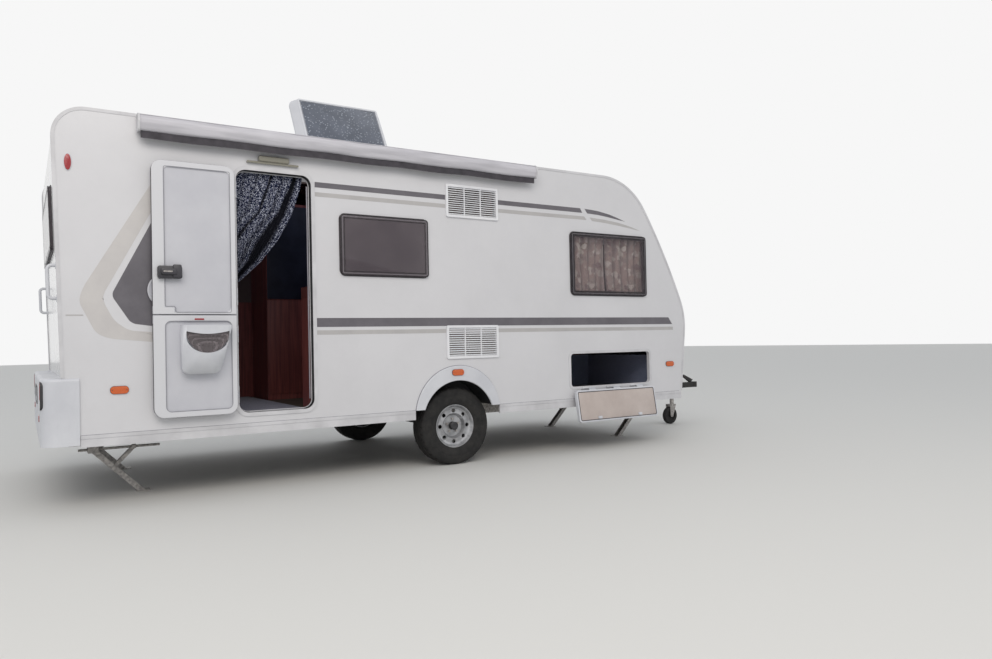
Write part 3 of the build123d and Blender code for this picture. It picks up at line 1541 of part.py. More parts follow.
def bed_bases():
    y_wall = inner_half - cabinet_gap
    t = bed_board
    front = block(front_bed_x0, front_bed_x0 + t, -y_wall, y_wall, floor_top, front_bed_top - t)
    front += block(front_bed_x0, gas_box_back_x, -y_wall, y_wall, front_bed_top - t, front_bed_top)
    front += block(front_bed_x0, gas_box_back_x, -t / 2, t / 2, floor_top, front_bed_top - t)
    rear = block(rear_bed_x1 - t, rear_bed_x1, -y_wall, y_wall, floor_top, rear_bed_top)
    rear += block(rear_bed_x0, rear_bed_x1, -y_wall, y_wall, rear_bed_top - t, rear_bed_top)
    rear += block(rear_bed_x0, rear_bed_x1, -t / 2, t / 2, floor_top, rear_bed_top)
    return front + rear


def bed_mattresses():
    y_wall = inner_half - 2 * cabinet_gap
    z0 = front_bed_top + mattress_gap
    front = block(front_bed_x0 + mattress_inset, gas_box_back_x - mattress_inset, -y_wall, y_wall,
                  z0, z0 + mattress_thick)
    z1 = rear_bed_top + mattress_gap
    rear = block(rear_bed_x0 + mattress_inset, rear_bed_x1 - mattress_inset, -y_wall, y_wall,
                 z1, z1 + mattress_thick)
    return front + rear


def door_curtain():
    y0 = -inner_half + door_curtain_off_wall
    y1 = y0 + curtain_thick
    points = [(door_x0 + ahead, door_curtain_top - below) for ahead, below in door_curtain_edge]
    return along_y(make_face(Polyline(*points)), y0, y1)


def window_curtains():
    cloths = Part()
    for side in (-1, 1):
        y0 = side * (inner_half - window_curtain_off_wall - curtain_thick)
        y1 = side * (inner_half - window_curtain_off_wall)
        x0, x1, z0, z1 = right_windows[1]
        middle = (x0 + x1) / 2
        for a, b in ((x0 - window_curtain_beyond, middle - 4), (middle + 4, x1 + window_curtain_beyond)):
            cloths += block(a, b, min(y0, y1), max(y0, y1), z0 - 40, z1 + window_curtain_above)
    return cloths


def curtain_rails():
    # Tracks on the inner face of the walls, just above the curtains
    door_reach = door_curtain_off_wall + curtain_thick
    z = door_curtain_top + curtain_top_gap
    rails = block(door_x0 - 40, door_x1 + 40, -inner_half, -inner_half + door_reach,
                  z, z + curtain_rail_height)
    x0, x1, z0, z1 = right_windows[1]
    z = z1 + window_curtain_above + curtain_top_gap
    window_reach = window_curtain_off_wall + curtain_thick
    for side in (-1, 1):
        y0 = side * inner_half
        y1 = side * (inner_half - window_reach)
        rails += block(x0 - window_curtain_beyond - 10, x1 + window_curtain_beyond + 10,
                       min(y0, y1), max(y0, y1), z, z + curtain_rail_height)
    return rails


def build():
    os.makedirs("parts", exist_ok=True)
    save("side_wall_right", right_wall())
    save("side_wall_left", side_wall(1, left_windows))
    save("rear_wall", rear_wall())
    save("roof_panel", roof_panel())
    save("front_wall", front_wall())
    save("floor_panel", floor_panel())
    save("wheel_boxes", wheel_boxes())
    save("corner_rails", corner_rails())
    save("skirt_rails", skirt_rails())
    save("wheel_arch_trims", wheel_arch_trims())
    frames, panes = windows()
    save("window_frames", frames)
    save("window_panes", panes)
    save("fridge_vents", fridge_vents())
    save("door_frame", door_frame())
    lower, upper = door_leaves()
    save("door_lower_leaf", open_door(lower))
    save("door_upper_leaf", open_door(upper))
    save("door_bin", open_door(door_bin()))
    save("hatch_frame", hatch_frame())
    save("hatch_flap", hatch_flap())
    save("gas_locker_box", gas_locker_box())
    save("gas_locker_hinges", gas_hinges())
    save("gas_locker_lid", gas_locker_lid())
    save("rooflight_kerb", rooflight_kerb())
    lid, pane = rooflight()
    save("rooflight_lid", lid)
    save("rooflight_pane", pane)
    save("awning_bag", awning_bag())
    save("awning_rail", awning_rail())
    save("rear_bumper", rear_bumper())
    save("tail_lamps", tail_lamps())
    save("amber_lamps", amber_lamps())
    save("grab_handles", grab_handles())
    save("door_lamp", door_lamp())
    save("chassis_rails", chassis_rails())
    save("axle_beam", axle_beam())
    for side, word in ((-1, "right"), (1, "left")):
        tyre, rim, drum = wheel_pieces(side)
        save(f"wheel_{word}_tyre", tyre)
        save(f"wheel_{word}_rim", rim)
        save(f"wheel_{word}_drum", drum)
    save("coupling_head", coupling_head())
    save("jockey_clamp", jockey_clamp())
    save("jockey_inner", jockey_inner())
    save("jockey_fork", jockey_fork())
    save("jockey_wheel", jockey_wheel())
    brackets = Part()
    for word, pivot_x, foot_side, y in steadies:
        save(f"steady_{word}_leg", steady_leg(pivot_x, foot_side, y))
        save(f"steady_{word}_strut", steady_strut(pivot_x, foot_side, y))
        brackets += steady_bracket(pivot_x, foot_side, y)
    save("steady_brackets", brackets)
    save("cabinets", cabinets())
    save("bed_bases", bed_bases())
    save("bed_mattresses", bed_mattresses())
    save("door_curtain", door_curtain())
    save("window_curtains", window_curtains())
    save("curtain_rails", curtain_rails())


build()
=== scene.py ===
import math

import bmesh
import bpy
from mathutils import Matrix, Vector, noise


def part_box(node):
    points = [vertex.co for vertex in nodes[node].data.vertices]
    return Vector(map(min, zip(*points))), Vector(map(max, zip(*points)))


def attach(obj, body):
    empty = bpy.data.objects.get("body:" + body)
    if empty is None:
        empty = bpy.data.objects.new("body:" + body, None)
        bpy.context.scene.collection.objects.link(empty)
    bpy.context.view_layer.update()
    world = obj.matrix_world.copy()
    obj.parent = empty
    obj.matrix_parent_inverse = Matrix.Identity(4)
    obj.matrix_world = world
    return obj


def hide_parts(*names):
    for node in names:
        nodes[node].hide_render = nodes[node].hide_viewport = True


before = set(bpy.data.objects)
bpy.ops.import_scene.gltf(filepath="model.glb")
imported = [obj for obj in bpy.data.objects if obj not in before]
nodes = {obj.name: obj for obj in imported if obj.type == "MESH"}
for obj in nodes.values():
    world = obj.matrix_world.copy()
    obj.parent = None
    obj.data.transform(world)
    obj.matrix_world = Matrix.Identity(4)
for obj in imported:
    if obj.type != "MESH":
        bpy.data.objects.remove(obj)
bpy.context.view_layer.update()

# %% [markdown]
# A touring caravan seen from its door side: white skins, tinted acrylic windows, vinyl stripes,
# and a galvanised chassis below. The construction is already there as solids. This file gives
# every surface its finish and makes the pieces whose form the solids only stand for, such as
# tyres with tread, lamps with ribs, curtains and mattresses.
# Lengths are metres. Patterns are given in millimetres and turned to metres by one value.

scene = bpy.context.scene
MM = 0.001
SIDES = (-1, 1)

# %% [markdown]
# A caravan is measured from its body: how far ahead of the rear wall, how far left of the
# middle, how high above the ground. The axle and the two side walls say where that lies in the
# shared frame, so one small function turns body measures into frame places.

# %% Body measures
AXLE_AHEAD = 2.840
ROOF_LEVEL = 2.560
tyre_low, tyre_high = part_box("wheel_right_tyre")
right_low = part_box("side_wall_right")[0]
left_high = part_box("side_wall_left")[1]
rear_x = (tyre_low.x + tyre_high.x) / 2 - AXLE_AHEAD
middle_y = (right_low.y + left_high.y) / 2
HALF_WIDTH = (left_high.y - right_low.y) / 2
RIGHT, LEFT = -HALF_WIDTH, HALF_WIDTH


def at(x, y, z):
    """Ahead of the rear wall, left of the middle and above the ground."""
    return Vector((x + rear_x, y + middle_y, z))


print("rear wall at", round(rear_x, 4), "middle at", round(middle_y, 4), "half width", HALF_WIDTH)

# %% [markdown]
# The photograph was taken from about five metres off the door side, with the lens just above
# one metre and turned 32 degrees towards the front. A 27 mm lens on a full frame gives the same
# field of view.

# %% Camera
LENS = 27.04
CAMERA_PLACE = (-0.2056, -6.52, 1.02)
CAMERA_TURNS = (("Z", -32.512), ("X", 90.894), ("Z", -1.232))
camera_data = bpy.data.cameras.new("camera")
camera_data.lens = LENS
camera_data.sensor_width = 36
camera = bpy.data.objects.new("camera", camera_data)
pose = Matrix.Translation(at(*CAMERA_PLACE))
for axis, degrees in CAMERA_TURNS:
    pose @= Matrix.Rotation(math.radians(degrees), 4, axis)
camera.matrix_world = pose
scene.collection.objects.link(camera)
scene.camera = camera
scene.view_settings.view_transform = "Standard"
print("camera", LENS, "mm at", CAMERA_PLACE)

# %% [markdown]
# Colours are written as the sRGB hex values that a paint card or a picture gives. The shaders
# work in linear light, so one function turns the one into the other.

# %% Colour conversion


def srgb(code):
    """Linear colour of an sRGB hex code such as B6B6BA."""
    parts = [int(code[i:i + 2], 16) / 255 for i in (0, 2, 4)]
    linear = [p / 12.92 if p <= 0.04045 else ((p + 0.055) / 1.055) ** 2.4 for p in parts]
    return (*linear, 1)


# %% [markdown]
# A material is a small graph of nodes. One helper adds one node: settings are its own options,
# and an input is either a value or a pair of another node and the name of its output. The
# others build on it: sums, mixes, two tones over a pattern, and bumps.

# %% Nodes


def add(tree, kind, inputs=(), **settings):
    """Adds one node. An input given as (node, output) is linked, anything else is its value."""
    made = tree.nodes.new("ShaderNode" + kind)
    for name, value in settings.items():
        setattr(made, name, value)
    for name, value in dict(inputs).items():
        if isinstance(value, tuple) and isinstance(value[0], bpy.types.Node):
            tree.links.new(value[0].outputs[value[1]], made.inputs[name])
        else:
            made.inputs[name].default_value = value
    return made


def maths(tree, operation, one, other=0.5):
    return add(tree, "Math", {0: one, 1: other}, operation=operation), 0


def mix(tree, factor, one, other):
    """The first colour where the factor is 0, the other where it is 1."""
    return add(tree, "Mix", {0: factor, 6: one, 7: other}, data_type="RGBA"), 2


def colour(tree, shader, source):
    tree.links.new(source[0].outputs[source[1]], shader.inputs["Base Color"])


def two_tones(tree, shader, factor, dark, light, start=0.35, stop=0.65):
    """Runs the base colour from one tone to the other over a stretch of a factor."""
    ramp = add(tree, "ValToRGB", {"Fac": factor})
    for point, position, tone in zip(ramp.color_ramp.elements, (start, stop), (dark, light)):
        point.position = position
        point.color = srgb(tone)
    colour(tree, shader, (ramp, "Color"))
    return ramp, "Color"


def relief(tree, shader, height, depth_mm, strength):
    """Lets a height pattern show as bumps of that depth."""
    bump = add(tree, "Bump", {"Height": height, "Distance": depth_mm * MM, "Strength": strength})
    tree.links.new(bump.outputs["Normal"], shader.inputs["Normal"])


# %% [markdown]
# Patterns are recipes: clouds are noise whose scale counts features in a metre, and cells are a
# Voronoi texture with a size in millimetres. A mottled finish runs between two tones by one
# recipe and is bumped by another, or by the same one when no other is given. Most real
# surfaces are no more than that: a coat that dirt or light has made uneven, over a fine grain.

# %% Patterns and mottled finishes


def clouds(scale, detail=2.0, roughness=0.5, **inputs):
    inputs = {"Scale": scale, "Detail": detail, "Roughness": roughness, **inputs}
    return "TexNoise", "Fac", inputs, {}


def cells(size_mm, output="Distance", feature="F1", **inputs):
    return "TexVoronoi", output, {"Scale": 1 / (size_mm * MM), **inputs}, {"feature": feature}


def draw(tree, place, recipe):
    kind, output, inputs, settings = recipe
    return add(tree, kind, {"Vector": place, **inputs}, **settings), output


def finish_of(name, **constants):
    """A new material with its shader's constant sockets set, and where its patterns are read."""
    made = bpy.data.materials.new(name)
    made.use_nodes = True
    tree = made.node_tree
    shader = tree.nodes["Principled BSDF"]
    for socket, value in constants.items():
        shader.inputs[socket.replace("_", " ")].default_value = value
    return made, tree, shader, (add(tree, "TexCoord"), "Object")


def mottled(name, tones, pattern, bumps=None, stops=(0.35, 0.65), stretch=None, change=None, **constants):
    """tones are two codes, bumps are (recipe, depth in mm, strength), and change alters the colour."""
    made, tree, shader, place = finish_of(name, **constants)
    if stretch:
        place = add(tree, "Mapping", {"Vector": place, "Scale": stretch}), 0
    drawn = draw(tree, place, pattern)
    tone = two_tones(tree, shader, drawn, *tones, *stops)
    if change:
        colour(tree, shader, change(tree, place, tone))
    if bumps:
        recipe, depth_mm, strength = bumps
        relief(tree, shader, draw(tree, place, recipe) if recipe else drawn, depth_mm, strength)
    return made


# %% [markdown]
# The floor is a pale sheet, and the light is that of an overcast evening: a wide soft sky and
# one large lamp from the door side. The world looks white to the camera, to glossy and to
# transmitted rays, and gives the softer light to everything else. A faint lamp under the ceiling
# stands for the daylight that the open rooflight lets into the living space.

# %% Floor, sky and lamps
FLOOR_HALF = 60
stage_bm = bmesh.new()
bmesh.ops.create_grid(stage_bm, x_segments=1, y_segments=1, size=FLOOR_HALF)
stage_mesh = bpy.data.meshes.new("floor")
stage_bm.to_mesh(stage_mesh)
stage_bm.free()
floor = bpy.data.objects.new("floor", stage_mesh)
scene.collection.objects.link(floor)
floor_finish, tree, shader, place = finish_of("pale_painted_floor", Roughness=0.75)
shader.inputs["Base Color"].default_value = srgb("D6D6D3")
stage_mesh.materials.append(floor_finish)

SKY_LIGHT = 0.72
SKY_SEEN = 0.93
world = bpy.data.worlds.new("sky")
scene.world = world
world.use_nodes = True
sky_tree = world.node_tree
sky_tree.nodes.clear()
rays = add(sky_tree, "LightPath")
seen = maths(sky_tree, "MAXIMUM", (rays, "Is Camera Ray"), (rays, "Is Glossy Ray"))
seen = maths(sky_tree, "MAXIMUM", seen, (rays, "Is Transmission Ray"))
light = add(sky_tree, "Background", {"Color": srgb("F4F6FA"), "Strength": SKY_LIGHT})
backdrop = add(sky_tree, "Background", {"Color": srgb("FFFFFF"), "Strength": SKY_SEEN})
mixed = add(sky_tree, "MixShader", {0: seen, 1: (light, 0), 2: (backdrop, 0)})
add(sky_tree, "OutputWorld", {"Surface": (mixed, 0)})


def panel_lamp(name, long, wide, watts, tint, place):
    """A rectangle of light that looks down."""
    data = bpy.data.lights.new(name, "AREA")
    data.shape = "RECTANGLE"
    data.size = long
    data.size_y = wide
    data.energy = watts
    data.color = srgb(tint)[:3]
    made = bpy.data.objects.new(name, data)
    made.location = at(*place)
    scene.collection.objects.link(made)
    return made


lamp = panel_lamp("evening_sky", 9, 5, 520, "FFF8F0", (-1.5, -9.0, 7.5))
lamp.rotation_euler = (at(3.0, 0, 1.2) - lamp.location).to_track_quat("-Z", "Y").to_euler()
ceiling = panel_lamp("ceiling_light", 3.6, 1.2, 5, "D2DCF4", (2.6, 0, 2.4))
ceiling.visible_camera = False
ceiling.visible_glossy = False
print("stage: floor, sky, one lamp outside and one under the ceiling")

# %% [markdown]
# The side walls are aluminium sheet, hammered in the rolling mill and then coil-painted white.
# The hammering hides small dents: shallow round dimples some nine millimetres apart, and a cloud
# of noise gives the faint grey of road film. Roof, nose and tail are glass fibre in polyester
# with a gelcoat: the same white, smoother and glossier, faintly wavy where the mould was. Both
# kinds of panel are lined inside, so what lies deeper than the skin takes the lining's colour, a
# dark brown that is also painted shade for the dim inside of the caravan.

# %% Wall skins
DIMPLE_MM = 9
LINED_FROM, LINED_TO = 0.18, 4.5
dimples = cells(DIMPLE_MM, feature="SMOOTH_F1")


def lined(skin):
    """Gives the colour change for a panel whose outer skin is that thick."""
    def change(tree, place, tone):
        depth = add(tree, "SeparateXYZ", {"Vector": place})
        aside = maths(tree, "ABSOLUTE", maths(tree, "SUBTRACT", (depth, "Y"), middle_y))
        inside = maths(tree, "LESS_THAN", aside, HALF_WIDTH - skin)
        for test in (maths(tree, "LESS_THAN", (depth, "Z"), ROOF_LEVEL - skin),
                     maths(tree, "GREATER_THAN", (depth, "X"), rear_x + LINED_FROM),
                     maths(tree, "LESS_THAN", (depth, "X"), rear_x + LINED_TO)):
            inside = maths(tree, "MULTIPLY", inside, test)
        # the lining's dark brown, which is also painted shade for the dim inside of the caravan
        return mix(tree, inside, tone, srgb("5B4A48"))
    return change


wall_finish = mottled("hammered_aluminium_coil_painted", ("CCCCCF", "D1D1D4"), clouds(1.6, 6.0, 0.65),
                      (dimples, 0.35, 0.35), change=lined(0.012), Roughness=0.36, Coat_Weight=0.25,
                      Coat_Roughness=0.2)
gelcoat = mottled("gelcoat_on_glass_fibre", ("CDCDCE", "D3D3D4"), clouds(2.4, 7.0, 0.6),
                  (clouds(5.0), 1.2, 0.25), change=lined(0.016), Roughness=0.24, Coat_Weight=0.5,
                  Coat_Roughness=0.1)
print("skins:", wall_finish.name, "and", gelcoat.name)

# %% [markdown]
# Trim rails are extruded aluminium with a white powder coat, which has the fine orange peel that
# a cured powder always shows. Bumper, vents and wheel arch trims are moulded ABS, matt from a
# leather grain etched into the mould. The door's inner skin is the same plastic, and its sunk
# panel is kept darker than the rim round it as painted shade in the recess; how deep a point
# lies tells them apart.
# Rubber and black seals are almost black with a worn grey bloom, never shiny.

# %% Coats, plastics and rubber
LEAF_INNER = -1.218
abs_patches = clouds(3.2, 6.0, 0.6)


def powder_coat(name, dark, light, roughness=0.42):
    return mottled(name, (dark, light), clouds(7.0, 5.0), (clouds(1 / (1.6 * MM), 1.0), 0.08, 0.4),
                   Roughness=roughness)


def moulded_abs(name, dark, light, roughness=0.45, grain_mm=1.4, depth_mm=0.1, change=None):
    return mottled(name, (dark, light), abs_patches, (cells(grain_mm), depth_mm, 0.35), change=change,
                   Roughness=roughness, IOR=1.54)


def rubber(name, dark="1B1B1C", worn="2E2D2C", roughness=0.78):
    return mottled(name, (dark, worn), clouds(14.0, 8.0, 0.7), (clouds(1 / (1.8 * MM)), 0.15, 0.5),
                   Roughness=roughness, Specular_IOR_Level=0.35)


# the rim of the door liner is painted paler than its sunk panel: painted shade in the recess
def painted_recess_shade(tree, place, tone):
    depth = add(tree, "SeparateXYZ", {"Vector": place})
    on_rim = maths(tree, "LESS_THAN", (depth, "Y"), middle_y + LEAF_INNER + 5 * MM)
    return mix(tree, on_rim, tone, srgb("CDCED2"))


rail_finish = powder_coat("aluminium_white_powder_coat", "BFBFC2", "CFCFD2")
abs_white = moulded_abs("abs_white_moulded", "C3C5CB", "D0D2D7")
abs_vent = moulded_abs("abs_vent_white", "DADBDF", "E6E7EA")
abs_liner = moulded_abs("abs_door_liner", "BABBC2", "C2C3C9", 0.5, change=painted_recess_shade)
abs_black = moulded_abs("abs_black_grained", "232326", "303034", 0.5, 2.0, 0.15)
abs_beige = moulded_abs("abs_beige_flap_liner", "B4A8A2", "C3B8B2", 0.5)
seal_finish = rubber("epdm_seal_grey_black", "3D393D", "4B474B", 0.6)
tyre_finish = rubber("tyre_rubber_worn")
print("coats, plastics and rubber: 8 finishes")

# %% [markdown]
# The windows are double panes of blown acrylic in a smoky brown. Acrylic bends light at 1.49 and
# is not quite flat, so its reflections swim a little. A lamp lens is injection moulded acrylic
# with fine ribs on its inside. The dark and light lines that the ribs show are painted light and
# shade: a wave texture both paints them into the colour and bends the light. A faint emission of
# the lighter tone is a painted glow; no lamp shines behind the lenses.

# %% Acrylic panes and lenses
RIB = 5 * MM


def acrylic(name, dark, light, cover):
    """A clear sheet, thin enough to let light straight through. Cover is what it holds back."""
    return mottled(name, (dark, light), clouds(3.0, 3.0), (clouds(4.0, 1.0), 1.0, 0.2), Roughness=0.06,
                   IOR=1.49, Alpha=cover)


def ribbed_lens(name, dark, light, painted_glow=0.0):
    # the rib bands are painted light and shade, and the emission is a painted glow
    ribs = ("TexWave", "Fac", {"Scale": 1 / (RIB * math.pi), "Distortion": 0.0},
            {"bands_direction": "DIAGONAL"})
    return mottled(name, (dark, light), ribs, (None, 0.8, 0.5), (0.2, 0.8), Roughness=0.12, IOR=1.49,
                   Coat_Weight=0.6, Coat_Roughness=0.05, Emission_Color=srgb(light), Emission_Strength=painted_glow)


# the plain panes hold back most light; their dark tones are the smoky tint and also painted shade for the dim
# inside seen through them
window_acrylic = acrylic("acrylic_smoke_brown", "51494F", "5E565B", 0.8)
curtained_acrylic = acrylic("acrylic_smoke_brown_curtained", "6B6167", "7B7177", 0.12)
red_lens = ribbed_lens("acrylic_lens_red", "6E1018", "B3202A", 0.04)
amber_lens = ribbed_lens("acrylic_lens_amber", "A8430F", "D8641E", 0.05)
cream_lens = ribbed_lens("acrylic_lens_cream", "706D60", "8B887B")
clear_lens = ribbed_lens("acrylic_lens_clear", "B9BBC0", "DCDDE0", 0.02)
print("two acrylic panes and four lenses")

# %% [markdown]
# Chassis rails, steadies and the jockey wheel are steel dipped in molten zinc, which freezes in
# large flat crystals, the spangle, each with its own grey: a Voronoi texture that gives every
# cell one colour. Axle, brake drums and coupling are cast or welded steel painted black, and
# rust shows where a coarse noise passes its threshold. The furniture board has a printed
# red-brown cherry foil, and the floor is plywood. Stretched noise makes the streaks of both.

# %% Metals and boards
SPANGLE_MM = 14


def galvanised():
    made, tree, shader, place = finish_of("steel_hot_dip_galvanised", Metallic=0.45, Roughness=0.5)
    spangle = draw(tree, place, cells(SPANGLE_MM, "Color"))
    stain = draw(tree, place, clouds(9.0, 8.0, 0.7))
    two_tones(tree, shader, maths(tree, "MULTIPLY", spangle, stain), "8A8785", "BDB9B5", 0.1, 0.5)
    return made


zinc = galvanised()
steel_black = mottled("steel_painted_black", ("242424", "4A332A"), clouds(22.0, 9.0, 0.75),
                      (clouds(1 / (2.5 * MM)), 0.25, 0.5), (0.55, 0.75), Roughness=0.55,
                      Specular_IOR_Level=0.4)
enamel = mottled("silver_wheel_enamel", ("8C8D90", "B4B5B8"), clouds(18.0, 8.0), Metallic=0.6,
                 Roughness=0.34)
cherry = mottled("particle_board_cherry_foil", ("763F3E", "96544E"), clouds(1.0, 6.0, Distortion=0.6),
                 (None, 0.1, 0.3), stretch=(60.0, 60.0, 2.5), Roughness=0.42)
plywood = mottled("plywood_sealed_underside", ("3A322B", "57493D"), clouds(1.0, 7.0, Distortion=0.8),
                  (None, 0.3, 0.4), stretch=(3.0, 45.0, 45.0), Roughness=0.7)
print("metals and boards: 5 finishes")

# %% [markdown]
# The solids that keep their own form take the finish of their real material. The others get one
# too, and a piece of this file stands in for them later.

# %% Finishes of the solids
keeps = [
    # finish, nodes
    (wall_finish, ("side_wall_right", "side_wall_left")),
    (gelcoat, ("rear_wall", "roof_panel", "front_wall", "gas_locker_lid")),
    (plywood, ("floor_panel",)),
    (abs_black, ("wheel_boxes", "gas_locker_box")),
    (rail_finish, ("corner_rails", "skirt_rails", "door_frame", "hatch_frame", "awning_rail",
                   "curtain_rails")),
    (abs_white, ("wheel_arch_trims", "rear_bumper", "grab_handles", "rooflight_kerb", "door_bin",
                 "rooflight_lid", "hatch_flap")),
    (abs_vent, ("fridge_vents",)),
    (abs_liner, ("door_lower_leaf", "door_upper_leaf")),
    (seal_finish, ("window_frames",)),
    (window_acrylic, ("window_panes",)),
    (zinc, ("chassis_rails", "jockey_clamp", "jockey_inner", "jockey_fork", "steady_brackets",
            *(n for n in nodes if n.startswith("steady_") and n.endswith(("leg", "strut"))))),
    (steel_black, ("axle_beam", "coupling_head", "wheel_right_drum", "wheel_left_drum",
                   "gas_locker_hinges")),
    (tyre_finish, ("wheel_right_tyre", "wheel_left_tyre", "jockey_wheel")),
    (enamel, ("wheel_right_rim", "wheel_left_rim")),
    (cherry, ("cabinets", "bed_bases")),
    (red_lens, ("tail_lamps",)),
    (amber_lens, ("amber_lamps",)),
    (cream_lens, ("door_lamp",)),
]
for finish, names in keeps:
    for name in names:
        nodes[name].data.materials.clear()
        nodes[name].data.materials.append(finish)
print("finishes on", sum(len(names) for finish, names in keeps), "of", len(nodes), "solids")

# %% [markdown]
# Most new pieces are plates: a lamp, a pane, a lid. A plate starts as a unit cube that is
# stretched between two opposite corners. Its upright edges are bevelled into round corners and
# the rim of its faces is eased, as no moulding or cut panel has a knife edge. A ring is a plate
# whose two faces are inset and joined by a hole. Other shapes start as a flat outline that is
# drawn out, or as rows of places with cloth or film between them.

# %% Plates, rings and how a piece is finished
AXES = {"X": 0, "Y": 1, "Z": 2}


def outward(bm):
    bmesh.ops.recalc_face_normals(bm, faces=bm.faces)
    return bm


def bevel(bm, geom, offset, affect, segments):
    bmesh.ops.bevel(bm, geom=geom, offset=offset, offset_type="OFFSET", affect=affect, segments=segments,
                    profile=0.5, material=-1)


def drawn_out(bm, way):
    """Extrudes a flat outline by a vector."""
    grown = bmesh.ops.extrude_face_region(bm, geom=bm.faces[:])["geom"]
    bmesh.ops.translate(bm, vec=way, verts=[g for g in grown if isinstance(g, bmesh.types.BMVert)])
    return outward(bm)


def cut(bm, place, normal):
    """Cuts all faces along a plane, so that they can bend there."""
    bmesh.ops.bisect_plane(bm, geom=bm.verts[:] + bm.edges[:] + bm.faces[:], dist=1e-6, plane_co=place,
                           plane_no=normal)


def fields(rows):
    """The four corners of every field between rows of places."""
    for upper, lower in zip(rows, rows[1:]):
        yield from zip(upper, upper[1:], lower[1:], lower)


def plate(one, other, corner=0.0, along="Y", ease=0.0, steps=8):
    """A plate between two body places, with round corners seen along an axis."""
    axis = AXES[along]
    low, high = (Vector(list(map(pick, one, other))) for pick in (min, max))
    bm = bmesh.new()
    bmesh.ops.create_cube(bm, size=1)
    bmesh.ops.translate(bm, vec=(0.5, 0.5, 0.5), verts=bm.verts)
    bmesh.ops.scale(bm, vec=high - low, verts=bm.verts)
    bmesh.ops.translate(bm, vec=at(*low), verts=bm.verts)
    if corner:
        upright = [e for e in bm.edges
                   if abs((e.verts[0].co - e.verts[1].co).normalized()[axis]) > 0.9]
        bevel(bm, upright, corner, "EDGES", steps)
    if ease:
        bm.normal_update()
        rim = [e for e in bm.edges
               if sum(abs(f.normal[axis]) > 0.9 for f in e.link_faces) == 1]
        bevel(bm, rim, ease, "EDGES", 2)
    return bm


def face_towards(bm, along, sign):
    """The largest face that looks along an axis, the way of the sign."""
    bm.normal_update()
    axis = AXES[along]
    return max((f for f in bm.faces if f.normal[axis] * sign > 0.9), key=lambda f: f.calc_area())


def step_in(bm, face, steps):
    """Insets one face again and again. Each step is a width and a rise along the normal."""
    for width, rise in steps:
        bmesh.ops.inset_region(bm, faces=[face], thickness=width, depth=rise, use_even_offset=True)
    return face


def ring(one, other, width, corner, along="Y", ease=0.0, steps=8):
    """A frame: a plate whose two faces are inset and joined by a hole."""
    bm = plate(one, other, corner, along, ease, steps)
    holes = [step_in(bm, face_towards(bm, along, sign), [(width, 0.0)]) for sign in SIDES]
    bmesh.ops.bridge_loops(bm, edges=[e for face in holes for e in face.edges])
    bmesh.ops.delete(bm, geom=holes, context="FACES_ONLY")
    return outward(bm)


def round_bar(foot, half_wide, half_high, way, points, turn="X"):
    """A round or oval bar from a body place, lying along Y, or along X if turned about Y."""
    bm = bmesh.new()
    bmesh.ops.create_circle(bm, cap_ends=True, radius=1, segments=points)
    bmesh.ops.scale(bm, vec=(half_wide, half_high, 1), verts=bm.verts)
    bmesh.ops.rotate(bm, cent=(0, 0, 0), matrix=Matrix.Rotation(math.radians(90), 3, turn), verts=bm.verts)
    bmesh.ops.translate(bm, vec=at(*foot), verts=bm.verts)
    return drawn_out(bm, way)


def merge(*parts):
    """Pours bmeshes into one."""
    target = bmesh.new()
    for part in parts:
        passing = bpy.data.meshes.new("passing")
        part.to_mesh(passing)
        part.free()
        target.from_mesh(passing)
        bpy.data.meshes.remove(passing)
    return target


def both_sides(make):
    """What a function makes for the right side, -1, and for the left side, 1."""
    return merge(make(-1), make(1))


def piece(name, bm, body, slot, finish, *stands_for, smooth_angle=35):
    """Makes the bmesh an object that rides on a body and replaces nodes. The slot is not used."""
    mesh = bpy.data.meshes.new(name)
    bm.to_mesh(mesh)
    bm.free()
    mesh.polygons.foreach_set("use_smooth", [True] * len(mesh.polygons))
    mesh.set_sharp_from_angle(angle=math.radians(smooth_angle))
    mesh.materials.append(finish)
    made = bpy.data.objects.new(name, mesh)
    scene.collection.objects.link(made)
    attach(made, body)
    if stands_for:
        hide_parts(*stands_for)
    return made


def between(table, height):
    """Reads a table of (height, value) that falls in height."""
    for (z1, a1), (z0, a0) in zip(table, table[1:]):
        if height >= z0:
            return a0 + (a1 - a0) * (height - z0) / (z1 - z0)
    return table[-1][1]


# %% [markdown]
# The tyre is one profile turned about the axle: bead, bulging sidewall, shoulder and a tread
# with four grooves round it. Then every third face of the two shoulder ribs is sunk, which
# gives the cross grooves. A spin makes the round shape exactly, and one inset makes all blocks.

# %% Tyres
TYRE_RADIUS = (tyre_high.z - tyre_low.z) / 2
GROOVE = 0.007
TURNS = 96
RIB_FROM, RIB_TO, RIB_DEEP = 0.054, 0.080, 0.009
BLOCK_INSET, BLOCK_SUNK = 0.0035, 0.005
half_profile = [
    # from the tyre's middle, inwards from the tread
    (0.006, 0.0), (0.007, GROOVE), (0.015, GROOVE), (0.016, 0.0), (0.043, 0.0012), (0.044, GROOVE),
    (0.052, GROOVE), (0.053, 0.0022), (0.074, 0.0045), (0.082, 0.011), (0.0875, 0.024), (0.0925, 0.048),
    (0.0945, 0.068), (0.0935, 0.07), (0.0945, 0.073), (0.092, 0.096), (0.086, 0.118), (0.080, 0.132),
    (0.076, 0.136), (0.074, 0.1415),
]


